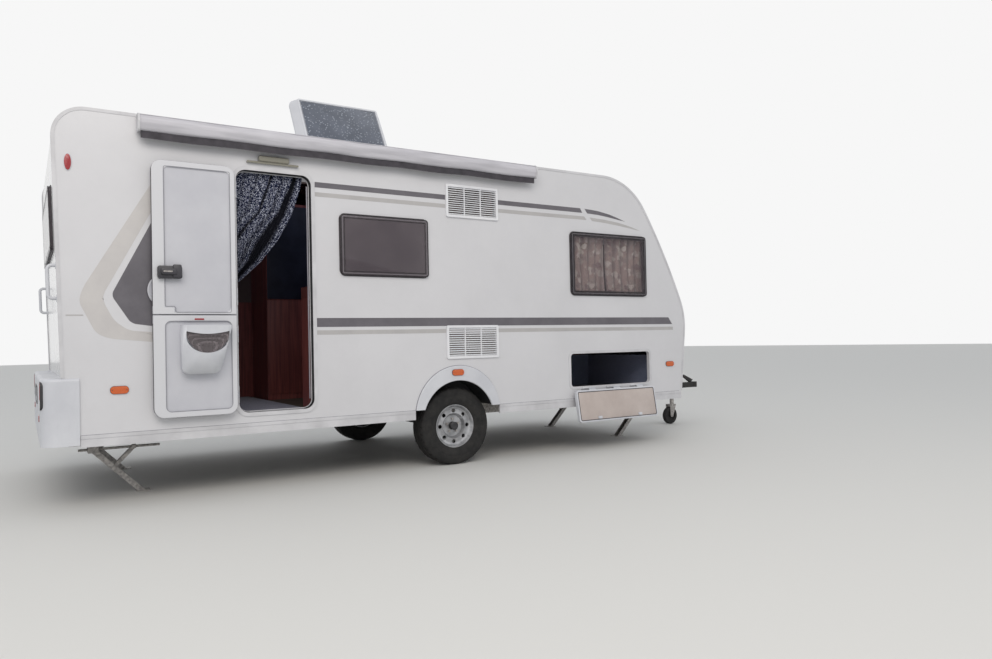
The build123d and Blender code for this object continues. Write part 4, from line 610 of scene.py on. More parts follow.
def tyre(middle):
    bm = bmesh.new()
    line = [(-across, inward) for across, inward in reversed(half_profile)] + half_profile
    verts = [bm.verts.new(middle + Vector((0, across, TYRE_RADIUS - inward))) for across, inward in line]
    edges = [bm.edges.new(pair) for pair in zip(verts, verts[1:])]
    bmesh.ops.spin(bm, geom=verts + edges, cent=middle, axis=(0, 1, 0), angle=2 * math.pi, steps=TURNS,
                   use_merge=True)
    bmesh.ops.remove_doubles(bm, verts=bm.verts, dist=0.0002)
    outward(bm)
    bm.normal_update()
    blocks = []
    for face in bm.faces:
        spot = face.calc_center_median() - middle
        turn = round(math.atan2(spot.x, spot.z) / (2 * math.pi) * TURNS - 0.5)
        on_rib = RIB_FROM < abs(spot.y) < RIB_TO and spot.xz.length > TYRE_RADIUS - RIB_DEEP
        if on_rib and turn % 3 == 0:
            blocks.append(face)
    bmesh.ops.inset_individual(bm, faces=blocks, thickness=BLOCK_INSET, depth=-BLOCK_SUNK)
    return bm


for side in ("right", "left"):
    low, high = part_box(f"wheel_{side}_tyre")
    made = piece(f"tyre_{side}", tyre((low + high) / 2), f"wheel_{side}", "tyre_rubber", tyre_finish,
                 f"wheel_{side}_tyre")
print("tyre has", len(made.data.polygons), "faces")

# %% [markdown]
# A caravan window is a blown double pane of acrylic that is bonded all round: two thin sheets
# with a dark ring between them. Lines printed near its edge look like a frame. The nose window
# and the rear window are built like the side ones, but they follow the curve of their walls.
# The solids tell that curve: the outermost point of the pane at each height. Flat plates are
# cut at these heights and then pushed on to the curve.

# %% Windows
SHEET = 3.2 * MM
PANE_THICK = 15.6 * MM
PANE_PROUD = 20 * MM
PANE_INSET = 7 * MM
PANE_CORNER = 27 * MM
INK = 0.2 * MM
BORDER = 38 * MM
CURVE_STEP = 0.01
line_black = rubber("print_ink_black", "161517", "1F1D20", 0.5)
line_grey = rubber("print_ink_grey", "706D72", "7C797E", 0.5)
printed_lines = [
    # name, ink, (in from the pane's edge, width of the line) in millimetres
    ("lines", line_black, [(0.5, 7), (26, 6)]),
    ("grey_line", line_grey, [(14, 4)]),
]


def glaze(label, spread, corner, along, clear, ease, lay):
    """One window. spread gives two corners from an inset and two depths, lay bends it."""
    def frame_of(inset, width, inner, outer):
        return ring(*spread(inset, inner, outer), width, corner - inset, along)

    sheets = merge(*(plate(*spread(0, face - SHEET, face), corner, along, ease)
                     for face in (0, SHEET - PANE_THICK)))
    border = frame_of(2 * MM, BORDER, SHEET - PANE_THICK, -SHEET)
    piece(f"window_sheets_{label}", lay(sheets), "root", "window_pane", clear, "window_panes")
    piece(f"window_border_{label}", lay(border), "root", "window_seal", seal_finish, "window_panes")
    for name, ink, lines in printed_lines:
        rings = merge(*(frame_of(inset * MM, width * MM, -INK, INK) for inset, width in lines))
        piece(f"window_{name}_{label}", lay(rings), "root", "window_seal", ink, "window_panes")


side_windows = [
    # side, rear edge, front edge, lower edge, upper edge, acrylic
    (RIGHT, 1.827, 2.582, 1.538, 2.016, window_acrylic),
    (RIGHT, 4.032, 4.972, 1.422, 2.013, curtained_acrylic),
    (LEFT, 0.330, 1.030, 1.560, 2.016, window_acrylic),
    (LEFT, 2.450, 3.350, 1.422, 2.013, window_acrylic),
    (LEFT, 4.032, 4.972, 1.422, 2.013, curtained_acrylic),
]
for number, (wall_y, x0, x1, z0, z1, clear) in enumerate(side_windows, 1):
    out = math.copysign(1, wall_y)

    def spread(inset, inner, outer):
        inset += PANE_INSET
        return ((x0 + inset, wall_y + out * (PANE_PROUD + inner), z0 + inset),
                (x1 - inset, wall_y + out * (PANE_PROUD + outer), z1 - inset))

    glaze(number, spread, PANE_CORNER, "Y", clear, 1.2 * MM, lambda bm: bm)


def end_curve(nose):
    """Height and ahead of the outermost line of the pane at one end, from the top down."""
    reach = {}
    better = max if nose else min
    for vert in nodes["window_panes"].data.vertices:
        ahead = vert.co.x - rear_x
        if (ahead > 5.0) if nose else (ahead < 0.25):
            height = round(vert.co.z, 4)
            reach[height] = better(reach.get(height, ahead), ahead)
    heights = sorted(reach, reverse=True)
    margin = 0.03 * (heights[0] - heights[-1])
    table = [(h, reach[h]) for h in heights if heights[-1] + margin < h < heights[0] - margin]
    for end, near in ((0, 1), (-1, -2)):
        (h0, a0), (h1, a1) = table[end], table[near]
        edge = heights[end]
        table.insert(0 if end == 0 else len(table), (edge, a0 + (a1 - a0) * (edge - h0) / (h1 - h0)))
    return table


def on_curve(bm, table, out):
    """Cuts the bmesh at the table's heights, then lays it on the curve by its depth."""
    for height, ahead in table[1:-1]:
        cut(bm, at(0, 0, height), (0, 0, 1))
    for vert in bm.verts:
        depth = vert.co.x - rear_x
        height = vert.co.z
        slope = (between(table, height + CURVE_STEP) - between(table, height - CURVE_STEP)) / (2 * CURVE_STEP)
        normal = Vector((1, 0, -slope)).normalized() * out
        vert.co.x = rear_x + between(table, height) + normal.x * depth
        vert.co.z = height + normal.z * depth
    return outward(bm)


for label, out, half, z0, z1, corner in (("front", 1, 0.813, 1.487, 2.023, 0.08),
                                         ("rear", -1, 0.713, 1.697, 2.133, 0.041)):
    table = end_curve(out > 0)

    def spread(inset, inner, outer):
        return (inner, -half + inset, z0 + inset), (outer, half - inset, z1 - inset)

    glaze(label, spread, corner, "X", window_acrylic, 0.0, lambda bm: on_curve(bm, table, out))
    print(label, "window on a curve of", len(table), "points")

# %% [markdown]
# The lens of a side lamp is folded into four facets, a low pyramid that throws light both ways:
# poking its front face makes them. A rear lamp cluster is a lens in a housing, with a clear
# reversing window below, and the outline marker high on the wall is an oval lens in a white
# foot, whose front is inset twice to crown it.

# %% Lamps
LAMP_BASE, LENS_PROUD = 5 * MM, 9 * MM
SCREW_HALF, REFLECTOR_HALF = 3 * MM, 9 * MM
side_lamps = [
    # rear edge, front edge, lower edge, upper edge, how far the wall stands out there
    (0.271, 0.381, 0.731, 0.783, 0.0), (5.215, 5.325, 0.731, 0.783, 0.0),
    (2.771, 2.883, 0.743, 0.796, 14 * MM),
]
lamp_places = [(out, lamp) for out in SIDES for lamp in side_lamps]


def side_lamp(out, outline, inset, start, end, corner, ease=0.0, steps=8):
    """One plate of a side lamp: how far in from an outline, and from where to where off the wall."""
    x0, x1, z0, z1, step_out = outline
    wall = HALF_WIDTH + step_out
    return plate((x0 + inset, out * (wall + start), z0 + inset), (x1 - inset, out * (wall + end), z1 - inset),
                 corner, ease=ease, steps=steps)


def lamp_lens(out, lamp):
    lens = side_lamp(out, lamp, 2 * MM, LAMP_BASE, LENS_PROUD, 22 * MM)
    bmesh.ops.poke(lens, faces=[face_towards(lens, "Y", out)], offset=2 * MM)
    return lens


bases = merge(*(side_lamp(out, lamp, 0, 0, LAMP_BASE, 24 * MM, 1 * MM) for out, lamp in lamp_places))
lenses = merge(*(lamp_lens(out, lamp) for out, lamp in lamp_places))
marks = []
for out, (x0, x1, z0, z1, step_out) in lamp_places:
    z = (z0 + z1) / 2
    for x, half in ((x0 + 13 * MM, SCREW_HALF), (x1 - 13 * MM, SCREW_HALF), ((x0 + x1) / 2, REFLECTOR_HALF)):
        outline = (x - half, x + half, z - SCREW_HALF, z + SCREW_HALF, step_out)
        marks.append(side_lamp(out, outline, 0, LENS_PROUD - 1 * MM, LENS_PROUD + 1 * MM, 2.9 * MM, steps=4))
piece("side_lamp_bases", bases, "root", "black_plastic", abs_black, "amber_lamps")
piece("side_lamp_lenses", lenses, "root", "amber_lens", amber_lens, "amber_lamps", smooth_angle=12)
piece("side_lamp_screws", merge(*marks), "root", "black_plastic", abs_black)


def marker(out, proud, half_x, half_z, crown):
    foot = (0.05, out * (HALF_WIDTH + proud), 2.205)
    bm = round_bar(foot, half_x, half_z, (0, out * 3 * MM, 0), 28)
    step_in(bm, face_towards(bm, "Y", out), [(crown, crown * 0.5), (crown, crown * 0.2)])
    return bm


piece("marker_feet", both_sides(lambda out: marker(out, 0, 0.024, 0.056, 1 * MM)), "root",
      "white_plastic", abs_white, "tail_lamps")
piece("marker_lenses", both_sides(lambda out: marker(out, 3 * MM, 0.0195, 0.051, 1.5 * MM)), "root",
      "red_lens", red_lens, "tail_lamps")

BUMPER_REAR = -0.112
rear_lamps = [
    # name, slot, finish, reach to the rear and front of the bumper, in from its sides, foot, top,
    # corner, ease
    ("rear_lamp_housings", "black_plastic", abs_black, -1 * MM, 0.030, 0, 0.650, 0.826, 28 * MM, 0),
    ("rear_lamp_lenses", "red_lens", red_lens, -3 * MM, 0, 8 * MM, 0.714, 0.818, 20 * MM, 1.5 * MM),
    ("reversing_lenses", "lamp_lens", clear_lens, -3 * MM, 0, 8 * MM, 0.658, 0.710, 12 * MM, 1.5 * MM),
]
for name, slot, finish, rear, front, inset, z0, z1, corner, ease in rear_lamps:
    lamps = both_sides(lambda out: plate((BUMPER_REAR + rear, out * (0.960 + inset), z0),
                                         (BUMPER_REAR + front, out * (1.120 - inset), z1), corner, "X",
                                         ease))
    piece(name, lamps, "root", slot, finish, "tail_lamps")
print(len(lamp_places), "side lamps, two markers and two rear lamps")

# %% [markdown]
# The stripes are cast vinyl film, cut by a knife plotter and laid on the wall. Each one is a flat
# outline of a few corners. Rounded corners come from a bevel of its points, and an extrusion of
# half a millimetre makes it a film with an edge. The same outlines are used on both walls.

# %% Vinyl film
FILM = 0.6 * MM
FILM_LIFT = 0.25 * MM


def vinyl(name, dark, light):
    return mottled(name, (dark, light), clouds(5.0, 8.0, 0.65), (dimples, 0.3, 0.3), Roughness=0.33,
                   Coat_Weight=0.2, Coat_Roughness=0.25)


def outline_at(points, y, rounding, segments=6):
    """A flat outline across the caravan: points are (ahead, above ground)."""
    bm = bmesh.new()
    bm.faces.new([bm.verts.new(at(x, y, z)) for x, z in points])
    if rounding:
        bevel(bm, bm.verts[:], rounding, "VERTICES", segments)
    return bm


grey_vinyl = vinyl("vinyl_film_dark_grey", "5A575D", "666369")
beige_vinyl = vinyl("vinyl_film_warm_grey", "ABA9A9", "B5B3B2")
pale_vinyl = vinyl("vinyl_film_pale_beige", "BEBBBA", "C6C3C1")
DOOR_TRIM = 1.645
VENT_REAR = 2.747
VENT_FRONT = 3.258
films = [
    # name, slot, finish, rounding, outlines
    ("stripe_dark", "black_plastic", grey_vinyl, 0.0, [
        [(DOOR_TRIM, 2.233), (DOOR_TRIM, 2.193), (VENT_REAR, 2.193), (VENT_REAR, 2.233)],
        [(VENT_FRONT, 2.233), (VENT_FRONT, 2.193), (4.192, 2.192), (4.168, 2.233)],
        [(4.220, 2.231), (4.251, 2.191), (4.38, 2.186), (4.50, 2.174), (4.62, 2.158), (4.72, 2.145),
         (4.62, 2.175), (4.52, 2.200), (4.39, 2.221), (4.30, 2.228)],
        [(DOOR_TRIM, 1.220), (DOOR_TRIM, 1.153), (2.20, 1.153), (5.319, 1.154), (5.268, 1.222)],
    ]),
    ("stripe_warm", "white_trim", beige_vinyl, 0.0, [
        [(DOOR_TRIM, 2.157), (DOOR_TRIM, 2.125), (VENT_REAR, 2.125), (VENT_REAR, 2.157)],
        [(VENT_FRONT, 2.157), (VENT_FRONT, 2.125), (4.242, 2.129), (4.214, 2.160)],
        [(4.278, 2.155), (4.308, 2.124), (4.46, 2.116), (4.62, 2.102), (4.76, 2.086), (4.915, 2.066),
         (4.80, 2.098), (4.64, 2.128), (4.46, 2.146)],
        [(DOOR_TRIM, 1.128), (DOOR_TRIM, 1.096), (5.33, 1.096), (5.327, 1.128)],
    ]),
    ("tail_graphic_dark", "black_plastic", grey_vinyl, 0.03, [
        [(0.285, 1.370), (0.400, 1.186), (0.545, 1.166), (0.545, 1.890)],
    ]),
    ("tail_graphic_pale", "white_trim", pale_vinyl, 0.035, [
        [(0.60, 2.235), (0.60, 2.065), (0.236, 1.366), (0.238, 1.330), (0.300, 1.205), (0.385, 1.140),
         (0.64, 1.120), (0.64, 1.052), (0.268, 1.090), (0.195, 1.125), (0.100, 1.330), (0.128, 1.420)],
    ]),
    ("tail_line", "white_trim", beige_vinyl, 0.0, [
        [(0.030, 1.236), (0.128, 1.236), (0.124, 1.244), (0.030, 1.244)],
    ]),
]
for name, slot, finish, rounding, outlines in films:
    made = merge(*(drawn_out(outline_at(points, out * (HALF_WIDTH + FILM_LIFT), rounding), (0, out * FILM, 0))
                   for out in SIDES for points in outlines))
    piece(name, made, "root", slot, finish)
print(len(films), "films")

# %% [markdown]
# An awning rolled up in its cloth bag hangs under the edge of the roof. The bag is one long
# sleeve of coated cloth, so it starts as a rounded section drawn out between the two end caps.
# Cutting it at even stations gives the vertices that noise can push in and out, and its lower
# half sags a little between them. A piping runs along its upper edge, and a dark strip of cloth
# hangs out below: the flap that closes over the zip, whose dark is also painted shadow under the bag.

# %% Awning bag
BAG_STATIONS = 120
BAG_STRAPS = 5
BAG_EDGE = 18 * MM
BAG_RIPPLE, BAG_CREASE, BAG_SAG = 3.2 * MM, 1.2 * MM, 4.5 * MM
BAG_SECTION = [
    # out from the wall, down from the roof
    (0.007, 0.006), (0.084, 0.012), (0.103, 0.060), (0.084, 0.118), (0.007, 0.109),
]
FLAP_DROP = 0.052
FLAP_COLUMNS, FLAP_ROWS = 160, 3
FLAP_SHORT = 4 * MM
FLAP_FROM, FLAP_OUT = 0.113, 0.070
FLAP_WAVE, FLAP_HEM, FLAP_SAG = 8 * MM, 4 * MM, 5 * MM
PIPING = 3 * MM
bag_low, bag_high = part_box("awning_bag")
bag_x0, bag_x1 = bag_low.x - rear_x, bag_high.x - rear_x
bag_long = bag_x1 - bag_x0
# the cloth's colour follows the same stretched noise as its bump, darker in the hollows of the creases:
# painted shade
bag_finish = mottled("polyester_cloth_pvc_coated", ("B3B2B8", "C6C5CB"), clouds(1.0, 6.0),
                     (None, 6.0, 0.5), stretch=(3.0, 30.0, 30.0), Roughness=0.5, Sheen_Weight=0.1)
# dark for the zip flap's own cloth and for the shadow under the bag: partly painted shadow
zip_flap_and_shadow_finish = rubber("polyester_zip_flap_and_painted_shadow", "37353A", "48454B", 0.7)


def sag(ahead):
    """0 at the straps and 1 half way between them."""
    return 0.5 - 0.5 * math.cos(2 * math.pi * (ahead - bag_x0) / (bag_long / BAG_STRAPS))


def sleeve():
    bm = bmesh.new()
    bm.faces.new([bm.verts.new(at(bag_x0, RIGHT - out, ROOF_LEVEL - down)) for out, down in BAG_SECTION])
    bevel(bm, bm.verts[:], BAG_EDGE, "VERTICES", 7)
    drawn_out(bm, (bag_long, 0, 0))
    for station in range(1, BAG_STATIONS):
        cut(bm, at(bag_x0 + bag_long * station / BAG_STATIONS, 0, 0), (1, 0, 0))
    heart = at(0, RIGHT - 0.05, ROOF_LEVEL - 0.062)
    for vert in bm.verts:
        if vert.co.y > at(0, RIGHT - 0.012, 0).y:
            continue
        spot = vert.co - heart
        spot.x = 0
        ripple = noise.noise(Vector((vert.co.x * 4.2, spot.y * 22, spot.z * 22)))
        fine = noise.noise(Vector((vert.co.x * 17, spot.y * 40, spot.z * 40)))
        vert.co += spot.normalized() * (BAG_RIPPLE * ripple + BAG_CREASE * fine)
        below = max(0.0, -spot.z / 0.06)
        vert.co.z -= BAG_SAG * below * sag(vert.co.x - rear_x)
    return outward(bm)


bag_piece = piece("awning_sleeve", sleeve(), "root", "awning_cloth", bag_finish, "awning_bag",
                  smooth_angle=60)
piping = round_bar((bag_x0 + 2 * MM, RIGHT - 0.080, ROOF_LEVEL - 0.0135), PIPING, PIPING,
                   (bag_long - 4 * MM, 0, 0), 8, "Y")
piece("awning_piping", piping, "root", "awning_cloth", bag_finish)

flap_long = bag_long - 2 * FLAP_SHORT
strip = bmesh.new()
rows = []
for row in range(FLAP_ROWS + 1):
    down = row / FLAP_ROWS
    line = []
    for column in range(FLAP_COLUMNS + 1):
        x = bag_x0 + FLAP_SHORT + flap_long * column / FLAP_COLUMNS
        wave = noise.noise(Vector((x * 3.3, 0.4, 1.7)))
        z = ROOF_LEVEL - FLAP_FROM - FLAP_DROP * down - FLAP_SAG * sag(x) - FLAP_HEM * wave * down
        line.append(strip.verts.new(at(x, RIGHT - FLAP_OUT - FLAP_WAVE * wave * down, z)))
    rows.append(line)
for corners in fields(rows):
    strip.faces.new(corners)
flap_area = sum(f.calc_area() for f in strip.faces)
flap_strip = piece("awning_zip_flap_and_shadow", strip, "root", "awning_cloth", zip_flap_and_shadow_finish, smooth_angle=180)
print("bag has", len(bag_piece.data.polygons), "faces, its flap", round(flap_area, 3), "square metres")

# %% [markdown]
# A curtain is a flat cloth whose heading is drawn together on a track. The cloth is as wide at
# the tie as at the top, so the spare width has to go into folds. Each row lies between the left
# and the right edge at its height, a few deep folds push it in and out, and a row of pleats is
# made just deep enough that the row is as long as the cloth is wide. Valleys see less light,
# which an attribute tells the cloth's finish.

# %% Curtain cloth
FOLD_DEPTH = 10.5 * MM
FOLD_LIMIT = 1.15 * FOLD_DEPTH
PLEAT_LIMIT = 1.3 * FOLD_DEPTH
PLEAT_ERROR = 0.02 * MM
THREAD = 1.1 * MM
CLOTH_WIDTH = 0.62


def woven(name, ground, print_dark, print_light, speck_mm, share):
    """Printed cotton: a thread grid in the bump, a print of specks and a shade in the folds."""
    made, tree, shader, place = finish_of(name, Roughness=0.9, Specular_IOR_Level=0.08)
    place = place[0], "UV"
    speck, distance = draw(tree, place, cells(speck_mm, Randomness=1.0))
    ragged = draw(tree, place, clouds(0.45 / (speck_mm * MM), 3.0))
    inside = maths(tree, "LESS_THAN", (speck, distance), maths(tree, "MULTIPLY", ragged, share))
    tone = mix(tree, (speck, "Color"), srgb(print_dark), srgb(print_light))
    cloth = mix(tree, inside, srgb(ground), tone)
    fold = add(tree, "Attribute", attribute_name="valley")
    colour(tree, shader, mix(tree, (fold, "Fac"), cloth, srgb("0B0C13")))
    threads = add(tree, "TexChecker", {"Vector": place, "Scale": 1 / THREAD})
    relief(tree, shader, (threads, "Fac"), 0.12, 0.4)
    return made


def pleated_row(x0, x1, y, z, folds, pleats, phase):
    """Places across one row. Halving finds the pleat depth that uses up the cloth's width."""
    shallow, deep = 0.0, PLEAT_LIMIT
    while deep - shallow > PLEAT_ERROR:
        pleat = (shallow + deep) / 2
        row = []
        for column, fold in enumerate(folds):
            u = column / (len(folds) - 1)
            push = FOLD_DEPTH * fold + pleat * math.sin(2 * math.pi * pleats * u + phase)
            row.append(at(x0 + (x1 - x0) * u, y + max(-FOLD_LIMIT, min(FOLD_LIMIT, push)), z))
        if sum((b - a).length for a, b in zip(row, row[1:])) < CLOTH_WIDTH:
            shallow = pleat
        else:
            deep = pleat
    return row


def hang(name, left, right, y, fold_at, pleats, rows, slot, finish, stands_for):
    """A hung cloth between two edge tables. fold_at gives (push in folds, shade 0 to 1)."""
    bm = bmesh.new()
    uv = bm.loops.layers.uv.new("UVMap")
    shade = bm.verts.layers.float.new("valley")
    top, bottom = left[0][0], left[-1][0]
    columns = 8 * pleats
    grid = []
    for row in range(rows + 1):
        v = row / rows
        z = top + (bottom - top) * v
        folds = [fold_at(column / columns, v) for column in range(columns + 1)]
        spots = pleated_row(between(left, z), between(right, z), y, z, [push for push, dark in folds],
                            pleats, 1.1 * math.sin(4 * v))
        line = []
        for column, (spot, (push, dark)) in enumerate(zip(spots, folds)):
            vert = bm.verts.new(spot)
            vert[shade] = dark
            line.append((vert, column / columns, v))
        grid.append(line)
    for corners in fields(grid):
        face = bm.faces.new([corner[0] for corner in corners])
        for loop, (vert, u, v) in zip(face.loops, corners):
            loop[uv].uv = (u * CLOTH_WIDTH, v * (top - bottom))
    area = sum(f.calc_area() for f in bm.faces)
    made = piece(name, bm, "root", slot, finish, stands_for, smooth_angle=180)
    print(name, "covers", round(area, 3), "square metres")


# %% [markdown]
# The door curtain is tied back to one side, with five deep folds that run down to the tie. The
# curtains at the front side windows are two widths each on a track, with even folds.

# %% Curtains
FOLD_ROWS = (0.0, -0.20, -0.35, -0.62, -1.0)
DEEP_FOLDS = [
    # places across the cloth at those rows, half widths there, depth, shade
    ((0.20, 0.06, -0.30, -0.4, -0.4), (0.03, 0.04, 0.05, 0.05, 0.05), 0.5, 0.25),
    ((0.38, 0.24, -0.15, -0.3, -0.3), (0.03, 0.04, 0.06, 0.06, 0.06), 0.6, 0.35),
    ((0.57, 0.44, 0.05, -0.2, -0.2), (0.022, 0.03, 0.07, 0.08, 0.08), 1.5, 0.92),
    ((0.74, 0.64, 0.38, 0.20, 0.20), (0.03, 0.05, 0.09, 0.10, 0.10), 0.6, 0.40),
    ((0.905, 0.82, 0.69, 0.60, 0.60), (0.035, 0.105, 0.24, 0.15, 0.15), 1.9, 0.98),
]
WINDOW_FOLDS = 5
TRACK_Z, HEM_Z, HEM_IN = 2.041, 1.384, 4 * MM
DOOR_TRACK_IN, WINDOW_TRACK_IN = 0.065, 0.059
navy_cloth = woven("cotton_navy_white_sprigs", "1B2036", "4A5170", "D2D6E2", 7.5, 0.86)
flower_cloth = woven("cotton_printed_rose_brown", "BBA6A0", "8A7072", "F2EADF", 52, 1.15)


def door_fold(u, v):
    depth, dark = 0.0, 0.0
    for places, halves, sink, shade in DEEP_FOLDS:
        place = between(list(zip(FOLD_ROWS, places)), -v)
        half = between(list(zip(FOLD_ROWS, halves)), -v)
        near = min(1.0, 1.6 * max(0.0, 1 - abs(u - place) / half))
        near = near * near * (3 - 2 * near)
        depth += sink * near
        dark = max(dark, shade * near)
    return depth - 0.8, dark


def even_fold(u, v):
    turn = 2 * math.pi * WINDOW_FOLDS * u * (0.8 + 0.3 * u) + 1.6 * math.sin(3 * v) + 2.1 * u * v
    return 0.15 * math.sin(7 * u + 2 * v), max(0.0, 0.42 * math.sin(turn))


door_left = [(2.290, 1.062), (1.640, 1.060), (1.500, 1.012), (1.445, 0.998), (1.400, 0.992), (1.300, 0.968),
             (0.766, 0.962)]
door_right = [(2.290, 1.576), (2.266, 1.570), (2.175, 1.553), (1.983, 1.488), (1.792, 1.386),
              (1.625, 1.255), (1.507, 1.130), (1.445, 1.062), (1.400, 1.046), (1.300, 1.052), (0.766, 1.056)]
hang("door_curtain_cloth", door_left, door_right, RIGHT + DOOR_TRACK_IN, door_fold, 15, 90, "curtain_navy",
     navy_cloth, "door_curtain")
for side, y in (("right", RIGHT + WINDOW_TRACK_IN), ("left", LEFT - WINDOW_TRACK_IN)):
    for number, (x0, x1) in enumerate(((4.014, 4.495), (4.509, 4.990)), 1):
        hang(f"window_curtain_{side}_{number}", [(TRACK_Z, x0), (HEM_Z, x0 + HEM_IN)],
             [(TRACK_Z, x1), (HEM_Z, x1 - HEM_IN)], y, even_fold, WINDOW_FOLDS, 20, "curtain_floral",
             flower_cloth, "window_curtains")

# %% [markdown]
# On the door's inner skin sit a black lock with a raised latch, a round retainer plate that looks
# out behind the leaf, a small red reflector, and a waste bin with a net in its mouth. All of it
# rides on the two door leaves. The outer faces of the open leaves look at the wall. The bin is a
# copy of its solid that grows wider towards its foot, and the net sags into its mouth.

# %% Door furniture
BIN_MIDDLE = 0.847
BIN_WIDER_FOOT, BIN_WIDER_MOUTH = 0.24, 0.11
MOUTH_X0, MOUTH_X1, MOUTH_Z = 0.708, 0.986, 1.133
MOUTH_LOW, MOUTH_HIGH = 0.150, 0.018
NET_COLUMNS, NET_ROWS = 32, 14
TOUCH = 1e-5
lock_black = moulded_abs("abs_lock_black", "242329", "34333A", 0.38, 1.0, 0.08)
# the net's threads are grey and its cells dark: the dark cells are painted shade for the inside of the bin
# seen through the mesh
net_finish = mottled("polyester_net_grey", ("7C7578", "2E292B"),
                     cells(8, feature="DISTANCE_TO_EDGE", Randomness=0.35), (None, 0.8, 0.8),
                     (0.05, 0.22), Roughness=0.85)
lock_parts = [
    # rear end, front end, foot, top, how far it starts and ends off the skin, corner, in millimetres
    (549, 699, 1478, 1562, 0, 36, 15), (566, 664, 1502, 1543, 30, 54, 12), (640, 694, 1484, 1571, 30, 46, 10),
]


def on_leaf(x0, x1, z0, z1, start, end, corner, ease, steps=8):
    """A plate on a leaf's inner skin, measured in millimetres."""
    return plate((x0 * MM, LEAF_INNER - start * MM, z0 * MM), (x1 * MM, LEAF_INNER - end * MM, z1 * MM),
                 corner * MM, ease=ease * MM, steps=steps)


lock = merge(*(on_leaf(*part, 5) for part in lock_parts))
lock_slot = on_leaf(580, 636, 1518, 1527, 53, 55.5, 4, 0.5)
mark = on_leaf(777, 838, 1205.5, 1216.5, 0, 2, 2, 0.8, 3)
disc = round_bar((0.608, -1.1735, 1.404), 0.112, 0.112, (0, 9 * MM, 0), 64)
for sign in SIDES:
    step_in(disc, face_towards(disc, "Y", sign), [(1.5 * MM, 1 * MM), (9 * MM, 0), (2 * MM, -1 * MM)])
piece("door_lock", lock, "door_upper", "black_plastic", lock_black)
piece("door_lock_slot", lock_slot, "door_upper", "galvanised", zinc)
piece("door_retainer_disc", disc, "door_upper", "door_liner", abs_liner)
piece("door_reflector", mark, "door_lower", "red_lens", red_lens)

bin_low, bin_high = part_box("door_bin")
wide_bin = bmesh.new()
wide_bin.from_mesh(nodes["door_bin"].data)
bmesh.ops.remove_doubles(wide_bin, verts=wide_bin.verts, dist=TOUCH)
for vert in wide_bin.verts:
    up = (vert.co.z - bin_low.z) / (bin_high.z - bin_low.z)
    off = vert.co.x - at(BIN_MIDDLE, 0, 0).x
    vert.co.x += off * (BIN_WIDER_FOOT + (BIN_WIDER_MOUTH - BIN_WIDER_FOOT) * up)
piece("waste_bin", outward(wide_bin), "door_lower", "white_plastic", abs_white, "door_bin", smooth_angle=40)

bag = bmesh.new()
rows = []
for row in range(NET_ROWS + 1):
    down = row / NET_ROWS
    line = []
    for column in range(NET_COLUMNS + 1):
        across = column / NET_COLUMNS
        bow = 1 - (2 * across - 1) ** 2
        drop = (MOUTH_HIGH + (MOUTH_LOW - MOUTH_HIGH) * down) * math.sqrt(bow)
        spot = at(MOUTH_X0 + (MOUTH_X1 - MOUTH_X0) * across, 0, MOUTH_Z - drop)
        belly = 0.014 * math.sin(math.pi * down) + 0.026 * max(0, down - 0.2)
        spot.y = bin_low.y + 0.012 + belly * bow
        line.append(bag.verts.new(spot))
    rows.append(line)
for a, b, c, d in fields(rows):
    if (a.co - d.co).length > TOUCH or (b.co - c.co).length > TOUCH:
        bag.faces.new([a, b, c, d])
bmesh.ops.remove_doubles(bag, verts=bag.verts, dist=TOUCH)
net_area = sum(f.calc_area() for f in bag.faces)
bin_net = piece("bin_net", outward(bag), "door_lower", "awning_cloth", net_finish)
print("door furniture, with a net of", round(net_area, 4), "square metres")

# %% [markdown]
# The doorway is edged with a black rubber seal. A pale bead of the lining shows inside it, a
# white tread plate covers the sill, and a blue-grey mat lies on the floor behind it. The front
# locker is lined with a needled blue-grey carpet: on its floor, on the wall behind and in front
# of the gas locker. Small lines edge the leaves: a gasket round each, and grey lines of painted
# shade where its inner panel meets the rim and in the gap between the two.

# %% Doorway, locker carpet and the lines of the leaves
DOOR_X0, DOOR_X1, DOOR_Z0, DOOR_Z1 = 1.075, 1.615, 0.555, 2.270
DOOR_CORNER = 70 * MM
LEAF_DEEPEST = -1.118
GROOVE_WIDTH = 4 * MM
door_seal = rubber("epdm_door_seal", "17171A", "29292D", 0.5)
reflection_strip_grey = powder_coat("aluminium_reflection_strip_grey", "8C8A92", "9A98A0", 0.35)
# grey for lines of painted shade: round the leaves' sunk panels, in the gap between the leaves, at the
# skirt's groove and along the arch trims' edge
shade_line_grey = rubber("grey_painted_shade_line", "808087", "909098", 0.6)
gasket_black = rubber("epdm_gasket_leaf", "3A393E", "4A494E", 0.6)


def doorway_ring(y0, y1, width, ease=0.0):
    return ring((DOOR_X0, y0, DOOR_Z0), (DOOR_X1, y1, DOOR_Z1), width, DOOR_CORNER, ease=ease, steps=10)


def pile(name, dark, light, thread_mm):
    return mottled(name, (dark, light), cells(thread_mm, "Color"), (cells(thread_mm), 1.5, 0.9), (0.2, 0.8),
                   Roughness=0.95, Sheen_Weight=0.3)


def groove(points, leaf, rounding):
    """A line of painted shade round the sunk panel of a leaf: the outline inset by its width."""
    bm = outline_at(points, LEAF_INNER - 0.3 * MM, rounding)
    panel = bm.faces[:]
    bmesh.ops.inset_region(bm, faces=panel, thickness=GROOVE_WIDTH, depth=0, use_even_offset=True,
                           use_boundary=True)
    bmesh.ops.delete(bm, geom=panel, context="FACES_ONLY")
    line = drawn_out(bm, (0, 0.8 * MM, 0))
    piece(f"leaf_groove_{leaf}", line, f"door_{leaf}", "door_liner", shade_line_grey)


